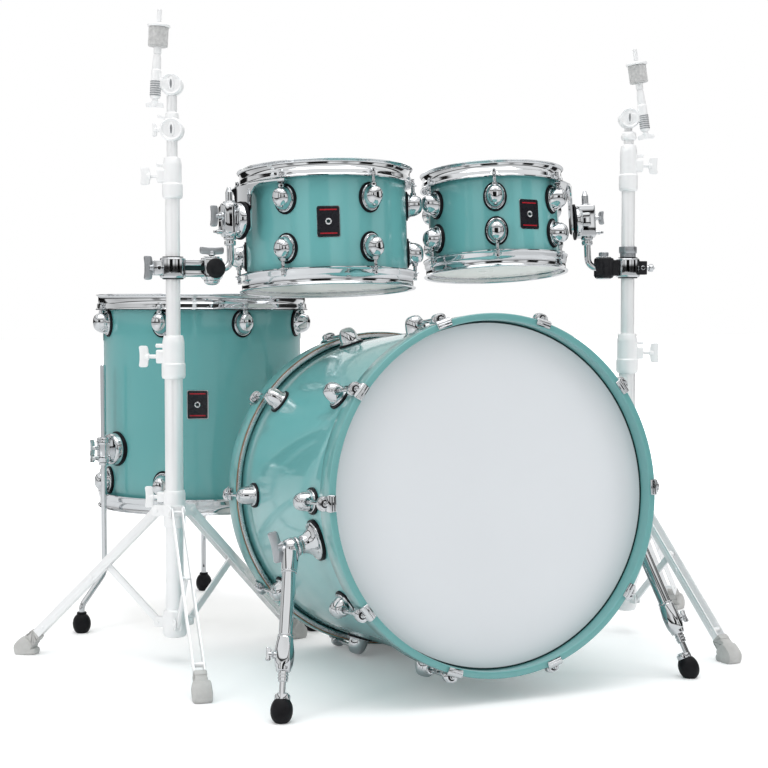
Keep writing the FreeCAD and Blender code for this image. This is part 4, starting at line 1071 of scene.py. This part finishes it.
def cymbal_tilter(prefix, hub, tilt_side, lean_by, felt_at):
    """Turning half of the hinge, and the cymbal rod with its seat, felts, cap and thread."""
    across = UP.cross(VIEW_WAY) * tilt_side
    lean = (UP + UP.cross(VIEW_WAY) * lean_by).normalized()
    seat = hub - VIEW_WAY * 7 + across * 27
    tilter = Piece()
    slotted_disc(tilter, hub, VIEW_WAY, 20, 0.2, 12.8)
    tilter.block(26, 10, 18, STAND_CAST, facing(hub - VIEW_WAY * 7 + across * 16, UP, across), 2.0, 3.0)
    barrel = facing(seat - lean * 26, lean)
    tilter.turned([(0, 0), (7.4, 0), (8.8, 3), (8.8, 49), (7.4, 52), (0, 52)], STAND_CAST, barrel, 1.2, 36)
    for ridge in range(7):
        tilter.disc(9.6, 5 + ridge * 3.9, 7.4 + ridge * 3.9, CAST_GREY, barrel, 0.6, 36)
    tilter.bar(seat - lean * 40, seat - lean * 24, 4.8, STAND_CAST)
    tilter.wing(seat - lean * 30, lean * -1, 32, STAND_CAST, across, 9, 6.5, 6.0, 3.0)
    felt_low = seat + lean * felt_at
    tilter.bar(seat + lean * 20, felt_low + lean * 39.5, 4.9, STAND, steps=24)
    tilter.bar(felt_low + lean * 38, felt_low + lean * 42, 3.6, STAND, steps=24)
    tilter.bar(felt_low + lean * 41, felt_low + lean * 65, 3.95, STAND, steps=24)
    tilter.sleeve([(4.9, 0), (8.0, 0), (7.4, 20), (6.2, felt_at - 38), (4.9, felt_at - 36)], STAND_CAST,
                  facing(seat + lean * 24, lean), 1.4, 32)
    tilter.sleeve([(4.9, 0), (6.8, 0), (6.8, 12), (4.9, 12)], STAND_CAST,
                  facing(felt_low - lean * 12, lean), 0.8, 32, fine=2)
    for thread in range(13):
        tilter.disc(4.2, 0, 0.9, STAND, facing(felt_low + lean * (44 + thread * 1.4), lean), 0.4, 20)
    pads = facing(felt_low, lean)
    tilter.sleeve([(5.1, 0.2), (16.6, 0.2), (17.5, 2), (17.3, 16.6), (17.0, 17.0), (17.3, 17.4), (17.5, 32),
                   (16.6, 33.8), (5.1, 33.8)], FELT, pads, 1.2, 64, fine=4)
    tilter.sleeve([(5.1, 34), (19.2, 34), (20.0, 35.2), (20.0, 38.4), (18.0, 39.8), (5.1, 39.8)],
                  STAND_CAST, pads, 0.8, 56)
    tilter.make(prefix + "cymbal_tilter", prefix + "tilter", prefix + "tilter", slot="stand_metal")


# each stand: way its bolts point, upper collar, tilter's disc, lower ratchet discs, top of the stem, side the
# tilter hangs on, how much its rod leans, and height of the felts above the tilter's seat
STANDS = {"left": dict(bolt_angle=157, upper=823, upper_height=72, disc_z=1022, lower_discs=[943],
                       stem_top=931, tilt_side=1, lean_by=-0.06, felt_at=64),
          "right": dict(bolt_angle=-23, upper=855, upper_height=88, disc_z=994, lower_discs=[],
                        stem_top=968, tilt_side=-1, lean_by=0.14, felt_at=66)}


def stand(side, bolt_angle, upper, upper_height, disc_z, lower_discs, stem_top, tilt_side, lean_by, felt_at):
    base = POLES[side]
    prefix = side + "_stand_"
    bolt_way = polar(bolt_angle)
    angles = [TURNS[side] + 120 * index for index in range(3)]
    stand_column(prefix, base, bolt_way, angles)
    leg_collar(prefix, base, bolt_way, angles)
    for index, angle in enumerate(angles, start=1):
        leg_and_brace(prefix, index, base, angle)
    poles(prefix, base, bolt_way, upper, upper_height, disc_z, lower_discs, stem_top, tilt_side)
    cymbal_tilter(prefix, base + UP * disc_z, tilt_side, lean_by, felt_at)


# ------------------------------------------------------------------ rack toms and holders

ARM_OUT = 53.0
ARM_RADIUS = 6.35
BALL_RADIUS = 15.0
POLE_BORE = 12.75


def tom_mount(piece, radius, depth, mount_lift, at, boxy):
    """Suspension hanger under the hoop, round gasket and the casting that grips the arm."""
    shelf_z = depth / 2 - 27.5
    plate_in = radius + 25
    rows = []
    low = mount_lift - 22
    for level, half in ((low, 20), (low + 3, 25), (low + 9, 28), (shelf_z - 26, 28), (shelf_z - 14, 31),
                        (shelf_z - 5, 40), (shelf_z + 0.5, 56)):
        reach = math.degrees(half / plate_in)
        out = [polar(-reach + 2 * reach * i / 40, plate_in + 3, level) for i in range(41)]
        back = [polar(reach - 2 * reach * i / 40, plate_in, level) for i in range(41)]
        rows.append(out + back)
    piece.rows(rows, CHROME, at)
    shelf = []
    for radial, level in ((plate_in + 2.4, -0.6), (plate_in + 3, 0.8), (plate_in + 1.6, 3), (radius + 10, 3),
                          (radius + 9.5, 1.5), (radius + 10, 0)):
        shelf.append([polar(-34.5 + 69 * i / 48, radial, shelf_z + level) for i in range(49)])
    piece.rows([list(column) for column in zip(*shelf)], CHROME, at)
    for angle in (-30, 30):
        hole = at @ spin(angle) @ shift(radius + ROD_OFFSET, 0, shelf_z)
        piece.disc(7.2, -1.4, 3.4, CHROME, hole, 1.0, 32, bore=3.3)
        piece.disc(6.0, -3.0, -1.2, NYLON, hole, 0.6, 32, bore=3.3)
    out = at.to_3x3() @ Vector((1, 0, 0))
    disc = at @ shift(plate_in, 0, mount_lift) @ facing((0, 0, 0), (1, 0, 0))
    piece.disc(34.5, 3.6, 7.8, GASKET, disc, 1.2, 64)
    piece.turned([(0, 7.6), (31, 7.6), (31.6, 10), (30.6, 15), (27, 19.5), (22, 21.5), (0, 21.5)], CHROME,
                 disc, 1.8, 64)
    body = at @ shift(radius + ARM_OUT, 0, mount_lift)
    if boxy:
        piece.block(36, 34, 60, CHROME, body @ shift(-1, 0, 0), 2.4, 4.0)
        piece.block(24, 38, 26, CHROME, body @ shift(-4, 0, 2), 2.0, 4.0)
        for level in (-24, 24):
            for across in (-17, 17):
                piece.key_bolt(body @ Vector((-15, across * 0.9, level)),
                               at.to_3x3() @ Vector((0, math.copysign(1, across), 0)), 0.9)
    else:
        piece.block(32, 33, 52, CHROME, body, 3.5, 7.0)
        piece.sleeve([(6.6, -30), (15, -30), (16.8, -24), (16.8, 24), (15, 30), (6.6, 30)], CHROME, body,
                     2.0, 44)
    piece.sleeve([(6.5, -36), (10.8, -36), (11.4, -32), (11.4, -29), (6.5, -29)], CHROME, body, 1.0, 36)
    piece.sleeve([(6.5, 29), (11.6, 29), (11.0, 33), (6.5, 34)], CHROME, body, 1.0, 36)
    piece.disc(8.6, 14, 18.5, CHROME, body @ shift(0, 0, 6) @ facing((0, 0, 0), (1, 0, 0)), 1.0, 32)
    piece.bar(body @ Vector((16, 0, 6)), body @ Vector((27, 0, 6)), 4.4, CHROME)
    span, tall = (26, 9) if boxy else (38, 12)
    piece.wing(body @ Vector((24, 0, 6)), out, span, CAST_GREY, UP, tall, 7, 5.0, 2.2)
    screw = body @ Vector((8, 0, -22))
    piece.bar(screw, screw + out * 18, 3.4, CHROME)
    piece.key_bolt(screw + out * 15, out, 0.95)


def bent_arm(prefix, through, up, elbow, along, ball, knob_side):
    """Rod from the mount, bent at the elbow towards the stand, with its ball at the end."""
    arm = Piece()
    route = bent([through + up * 50, elbow, ball + along * 12], (17,), 9)
    arm.tube(route, ARM_RADIUS, CHROME, steps=32, edge=0.3)
    tip = facing(through + up * 49.6, up)
    arm.lathe([(ARM_RADIUS, 0), (5.6, 2), (3.6, 7), (3.3, 8), (3.5, 8.6), (3.2, 9.2), (0, 9.4)], CHROME,
              tip, 32)
    ring_at = facing(through - up * 39, up)
    arm.sleeve([(6.4, -7), (9.6, -7), (10.4, -4), (10.4, 1.5), (6.4, 1.5)], CHROME, ring_at, 1.0, 36)
    knob = through - up * 42
    arm_side = (up.cross(along) * knob_side).normalized()
    arm.bar(knob, knob + arm_side * 15, 3.0, CHROME)
    arm.key_bolt(knob + arm_side * 13, arm_side, 0.8)
    ball_line = [polar(90 - turn, BALL_RADIUS).to_2d() for turn in range(10, 175, 11)]
    arm.lathe([(0, BALL_RADIUS)] + ball_line + [(0, -BALL_RADIUS)], CHROME, facing(ball, along), 36)
    arm.make(prefix + "_bent_arm", prefix + "_arm", prefix + "_arm", slot="chrome")


def holder_clamp(prefix, pole, along, ball, boxy):
    """Clamp round the stand's top tube, bridge, and the jaws that hold the arm's ball."""
    grip = Piece()
    across = UP.cross(along)
    here = shift(*pole)
    grip.sleeve([(POLE_BORE, -18), (21.6, -18), (23, -15), (23, 15), (21.6, 18), (POLE_BORE, 18)], CHROME,
                here, 1.6, 52)
    for level in (-18.4, 18.4):
        grip.sleeve([(POLE_BORE, level - 1.6), (18.5, level - 1.6), (18.5, level + 1.6),
                     (POLE_BORE, level + 1.6)], NYLON, here, 0.7, 48, fine=2)
    span = (ball - pole).length
    bridge = facing(pole + along * (span / 2 - 1), UP, along)
    if boxy:
        for side_step in (-1, 1):
            grip.block(span - 10, 4.0, 30, NYLON, bridge @ shift(0, side_step * 9.4, 0), 1.2, 1.4)
        grip.block(span - 12, 15, 24, NYLON, bridge, 1.0, 1.4)
    else:
        for level in (-9.5, 9.5):
            grip.block(span - 12, 20, 11, CHROME, bridge @ shift(0, 0, level), 1.4, 1.6)
        # recessed dark block between the plates: painted shadow in the gap
        grip.block(span - 16, 17, 14, SHADOW, bridge, 1.0, 1.4)
    housing = shift(*ball)
    turn = facing(ball, UP, along)
    rows = []
    open_half = 34.0
    for size, level in ((11, -20.5), (17, -19.4), (20, -15), (20, 15), (18.6, 18.2), (13, 20)):
        outer = [polar(open_half + (360 - 2 * open_half) * i / 40, size, level) for i in range(41)]
        inner = [polar(open_half + (360 - 2 * open_half) * (40 - i) / 40, min(size - 1.6, 15.8), level)
                 for i in range(41)]
        rows.append(outer + inner)
    grip.rows(rows, NYLON if boxy else CHROME, turn)
    for level, low in ((18.2, False), (-21.2, True)):
        grip.disc(14.5, level, level + 3, CHROME, housing, 1.0, 44)
    if not boxy:
        jaw = facing(ball, across * -1)
        grip.turned([(8.4, 19.6), (17.0, 19.6), (18.2, 22.2), (17.0, 24.4), (12.4, 25.6), (0, 25.6)], NYLON,
                    jaw, 1.2, 48)
        grip.turned([(0, -30), (8, -29), (13, -25.5), (14.5, -21), (0, -21)], CHROME, housing, 2.0, 44,
                    fine=4)
    cheeks = facing(pole - along * 27, UP, along)
    for side_step in (-1, 1):
        grip.block(18, 5.2, 26, NYLON if boxy else CHROME, cheeks @ shift(0, side_step * 5.8, 0), 1.4, 1.6)
    grip.bar(pole - along * 28 - across * 10, pole - along * 28 + across * 10, 4.0, CHROME)
    grip.bar(pole - along * 33, pole - along * 43, 4.2, CHROME)
    if boxy:
        grip.disc(7.6, 0, 9, CHROME, facing(pole - along * 40, along * -1), 2.2, 32)
        grip.bar(pole - along * 48, pole - along * 52, 3.0, CHROME)
        grip.bar(ball + UP * 18, ball + UP * 24, 4.6, CHROME)
        grip.disc(9.4, 22, 30, CAST_GREY, housing, 1.8, 36)
        nut = soften([polar(60 * corner, 18.0).to_2d() for corner in range(6)], 3.0, 3)
        grip.slab(nut, 27.5, 41.0, CAST_GREY, here @ facing((0, 0, 0), UP, along), 1.6)
        grip.disc(15.0, 18.5, 28.0, CAST_GREY, here, 1.4, 40, bore=POLE_BORE)
    else:
        grip.wing(pole - along * 37, along * -1, 42, CAST_GREY, UP, 13, 7.5, 6.5, 3.0)
        grip.bar(ball + UP * 19, ball + UP * 29, 5.0, CHROME)
        grip.wing(ball + UP * 24, UP, 44, CAST_GREY, along, 12, 7.5, 6.5, 3.0)
    grip.make(prefix + "_holder_clamp", prefix + "_clamp", prefix + "_clamp", slot="chrome")


# each rack tom: stand that carries it, shell, lug row and phase, tilt and place, the mount's angle and height
# on the shell, height of the arm, distance of its ball from the stand, and whether the castings are square
RACK_TOMS = {"large_tom": dict(side="left", radius=150.0, depth=203, row=44, phase=40.4, tilt=4.1,
                               centre=(-129.7, -51.4, 773.5), mount_angle=190.4, mount_lift=12, arm_z=701,
                               ball_at=72.0, boxy=False),
             "small_tom": dict(side="right", radius=124.5, depth=178, row=32, phase=4.7, tilt=6.2,
                               centre=(203.0, -84.7, 792.6), mount_angle=-25.3, mount_lift=-4, arm_z=708,
                               ball_at=47.0, boxy=True)}


def rack_tom(prefix, side, radius, depth, row, phase, centre, tilt, mount_angle, mount_lift, arm_z, ball_at,
             boxy):
    """One rack tom with its mount, bent arm and the clamp on the stand; gives back the drum's frame."""
    at = shift(*centre) @ spin(-tilt, "X")
    pads = tom(prefix, prefix, radius, depth, row, phase, 6, at)
    pads.make(prefix + "_lug_pads", prefix, slot="rubber_black")
    mount_frame = at @ spin(mount_angle)
    mount = Piece()
    tom_mount(mount, radius, depth, mount_lift, mount_frame, boxy)
    mount.make(prefix + "_suspension_mount", prefix, prefix + "_mount", slot="chrome")
    through = mount_frame @ Vector((radius + ARM_OUT, 0, mount_lift))
    pole = POLES[side] + UP * arm_z
    up = at.to_3x3() @ UP
    elbow = through - up * ((through.z - arm_z) / up.z)
    along = (elbow - pole).normalized()
    ball = pole + along * ball_at
    bent_arm(prefix, through, up, elbow, along, ball, 1 if side == "left" else -1)
    holder_clamp(prefix, pole, along, ball, boxy)
    return at


# ------------------------------------------------------------------ build everything

bass_pads = bass_drum()
spurs()
floor_pads = floor_tom()
floor_pads.absorb(bass_pads)
floor_pads.make("drum_lug_pads", "kit", "lug_gaskets", slot="rubber_black")
for side, values in STANDS.items():
    stand(side, **values)
drum_frames = {name: rack_tom(name, **values) for name, values in RACK_TOMS.items()}

for name, body, radius, spot in (
        ("large_tom", "large_tom", 150.0, drum_frames["large_tom"] @ spin(250.4) @ shift(150.0, 0, 0)),
        ("small_tom", "small_tom", 124.5, drum_frames["small_tom"] @ spin(275.0) @ shift(124.5, 0, -1)),
        ("floor_tom", "kit", FLOOR_RADIUS, FLOOR @ spin(250.5) @ shift(FLOOR_RADIUS, 0, 0))):
    badge = Piece()
    vent_badge(badge, radius, spot)
    badge.make(name + "_vent_plate", body, slot="chrome")


# ------------------------------------------------------------------ floor, light and camera

ROOM_LIGHT = 0.95
WALL_STEP = 0.010
# each dark flag: middle and half width as shares of a full turn, its grey and the grey of the wall beside it
WALL_FLAGS = ((0.060, 0.008, 0.30, 0.90), (0.165, 0.034, 0.01, 1.10), (0.268, 0.006, 0.35, 0.76),
              (0.352, 0.024, 0.01, 0.95), (0.505, 0.055, 0.02, 0.78), (0.652, 0.007, 0.28, 1.10),
              (0.790, 0.032, 0.01, 0.84))
# greys by height: 0 straight down, 0.5 level, 1 straight up
WALL_HEIGHTS = ((0.0, 0.0), (0.40, 0.0), (0.42, 1.0), (0.66, 1.0), (0.70, 0.0))
CEILING = ((0.0, 0.55), (0.70, 0.80), (0.722, 0.02), (0.745, 0.02), (0.77, 1.05), (0.94, 0.90), (0.955, 0.12),
           (1.0, 0.10))
HORIZON = ((0.0, 1.0), (0.480, 1.0), (0.492, 0.04), (0.520, 0.04), (0.535, 1.0))
DULL_ROOM = 0.84


def studio_world():
    """Plain white for the camera, an even grey for dull surfaces, and for mirrors a room with dark flags."""
    world = bpy.data.worlds.new("studio_world")
    world.use_nodes = True
    bpy.context.scene.world = world
    tree = world.node_tree

    def share(value, scale):
        """Turns a value about zero into one about a half."""
        node = add_node(tree, "Math", _0=value, _1=scale, _2=0.5)
        node.operation = "MULTIPLY_ADD"
        return node.outputs[0]

    def grey_ramp(source, stops):
        return add_ramp(tree, source, [(position, (grey, grey, grey)) for position, grey in stops])

    way = tree.nodes.new("ShaderNodeTexCoord").outputs["Generated"]
    split = add_node(tree, "SeparateXYZ", Vector=way)
    turn = add_node(tree, "Math", _0=split.outputs["Y"], _1=split.outputs["X"])
    turn.operation = "ARCTAN2"
    stops = [(0.0, 0.80)]
    for middle, half, dark, bright in WALL_FLAGS:
        stops += [(middle - half - WALL_STEP, bright), (middle - half, dark),
                  (middle + half, dark), (middle + half + WALL_STEP, bright)]
    stops += [(0.90, 0.62), (1.0, 0.80)]
    height = share(split.outputs["Z"], 0.5)
    walls = add_node(tree, "Math", _0=grey_ramp(share(turn.outputs[0], 1 / math.tau), stops),
                     _1=grey_ramp(height, HORIZON))
    walls.operation = "MULTIPLY"
    room = add_mix(tree, grey_ramp(height, WALL_HEIGHTS), grey_ramp(height, CEILING), walls.outputs[0])
    rays = tree.nodes.new("ShaderNodeLightPath").outputs
    lit = add_mix(tree, rays["Is Glossy Ray"], (DULL_ROOM, DULL_ROOM, DULL_ROOM, 1), room)
    white = (1 / ROOM_LIGHT, 1 / ROOM_LIGHT, 1 / ROOM_LIGHT, 1)
    back = tree.nodes["Background"]
    tree.links.new(add_mix(tree, rays["Is Camera Ray"], lit, white), back.inputs["Color"])
    back.inputs["Strength"].default_value = ROOM_LIGHT


FLOOR_HALF = 30.0
GLOW_FROM, GLOW_TO, GLOW_LEAST = 0.9, 3.2, 0.14


def studio_floor():
    mesh = bpy.data.meshes.new("studio_floor")
    corners = [(-FLOOR_HALF, -FLOOR_HALF, 0), (FLOOR_HALF, -FLOOR_HALF, 0), (FLOOR_HALF, FLOOR_HALF, 0),
               (-FLOOR_HALF, FLOOR_HALF, 0)]
    mesh.from_pydata(corners, [], [(0, 1, 2, 3)])
    paper = Nodes("pale_paper", (0.92, 0.925, 0.93), 0.75, specular=0.2)
    paper.vary(0.7, (0.915, 0.92, 0.925), (0.925, 0.93, 0.935), detail=1.0)
    away = add_node(paper.tree, "VectorMath", _0=paper.place)
    away.operation = "LENGTH"
    glow = add_node(paper.tree, "MapRange", **{"From Min": GLOW_FROM, "From Max": GLOW_TO,
                                               "To Min": GLOW_LEAST, "Value": away.outputs["Value"]})
    glow.interpolation_type = "SMOOTHSTEP"
    rays = paper.tree.nodes.new("ShaderNodeLightPath").outputs
    seen = add_node(paper.tree, "Math", _0=glow.outputs["Result"], _1=rays["Is Camera Ray"])
    seen.operation = "MULTIPLY"
    paper.link(seen.outputs["Value"], paper.shader.inputs["Emission Strength"])
    # mirrors see the paper as a mid grey: painted shade in its reflections
    base = paper.shader.inputs["Base Color"]
    paper.link(add_mix(paper.tree, rays["Is Glossy Ray"], base.links[0].from_socket, (0.72, 0.73, 0.74, 1)),
               base)
    paper.set("Emission Color", (1, 1, 1, 1))
    mesh.materials.append(paper.material)
    ground = bpy.data.objects.new("studio_floor", mesh)
    bpy.context.scene.collection.objects.link(ground)


# each soft box in metres: place, point it aims at, width, height, and its power in watts
SOFT_BOXES = {"left": ((-3.4, -1.6, 1.5), (0, -0.1, 0.6), 0.7, 2.8, 24),
              "right": ((3.3, -2.0, 1.5), (0, 0, 0.6), 0.7, 2.8, 18),
              "top": ((-0.3, -0.6, 3.6), (0, 0, 0.3), 3.4, 2.6, 62),
              "back": ((1.2, 3.2, 2.4), (0, 0, 0.6), 2.4, 1.4, 20)}
EYE = (-1.184, -2.779, 0.626)
EYE_PITCH = -2.69


def aimed(thing, spot, way):
    """Places a lamp or the camera in the scene, looking along a direction."""
    placed = bpy.data.objects.new(thing.name, thing)
    placed.location = spot
    placed.rotation_euler = way.to_track_quat("-Z", "Y").to_euler()
    bpy.context.scene.collection.objects.link(placed)
    return placed


def studio():
    studio_floor()
    studio_world()
    for name, (spot, aim, width, height, power) in SOFT_BOXES.items():
        light = bpy.data.lights.new(name + "_softbox", "AREA")
        light.shape = "RECTANGLE"
        light.size, light.size_y = width, height
        light.energy = power
        lamp = aimed(light, spot, Vector(aim) - Vector(spot))
        lamp.visible_glossy = width > 1
    bpy.context.scene.view_settings.view_transform = "Standard"

    camera = bpy.data.cameras.new("camera")
    camera.sensor_width = 36.0
    camera.lens = 73.22
    pitch = math.radians(EYE_PITCH)
    bpy.context.scene.camera = aimed(camera, EYE, VIEW_WAY * math.cos(pitch) + UP * math.sin(pitch))


studio()
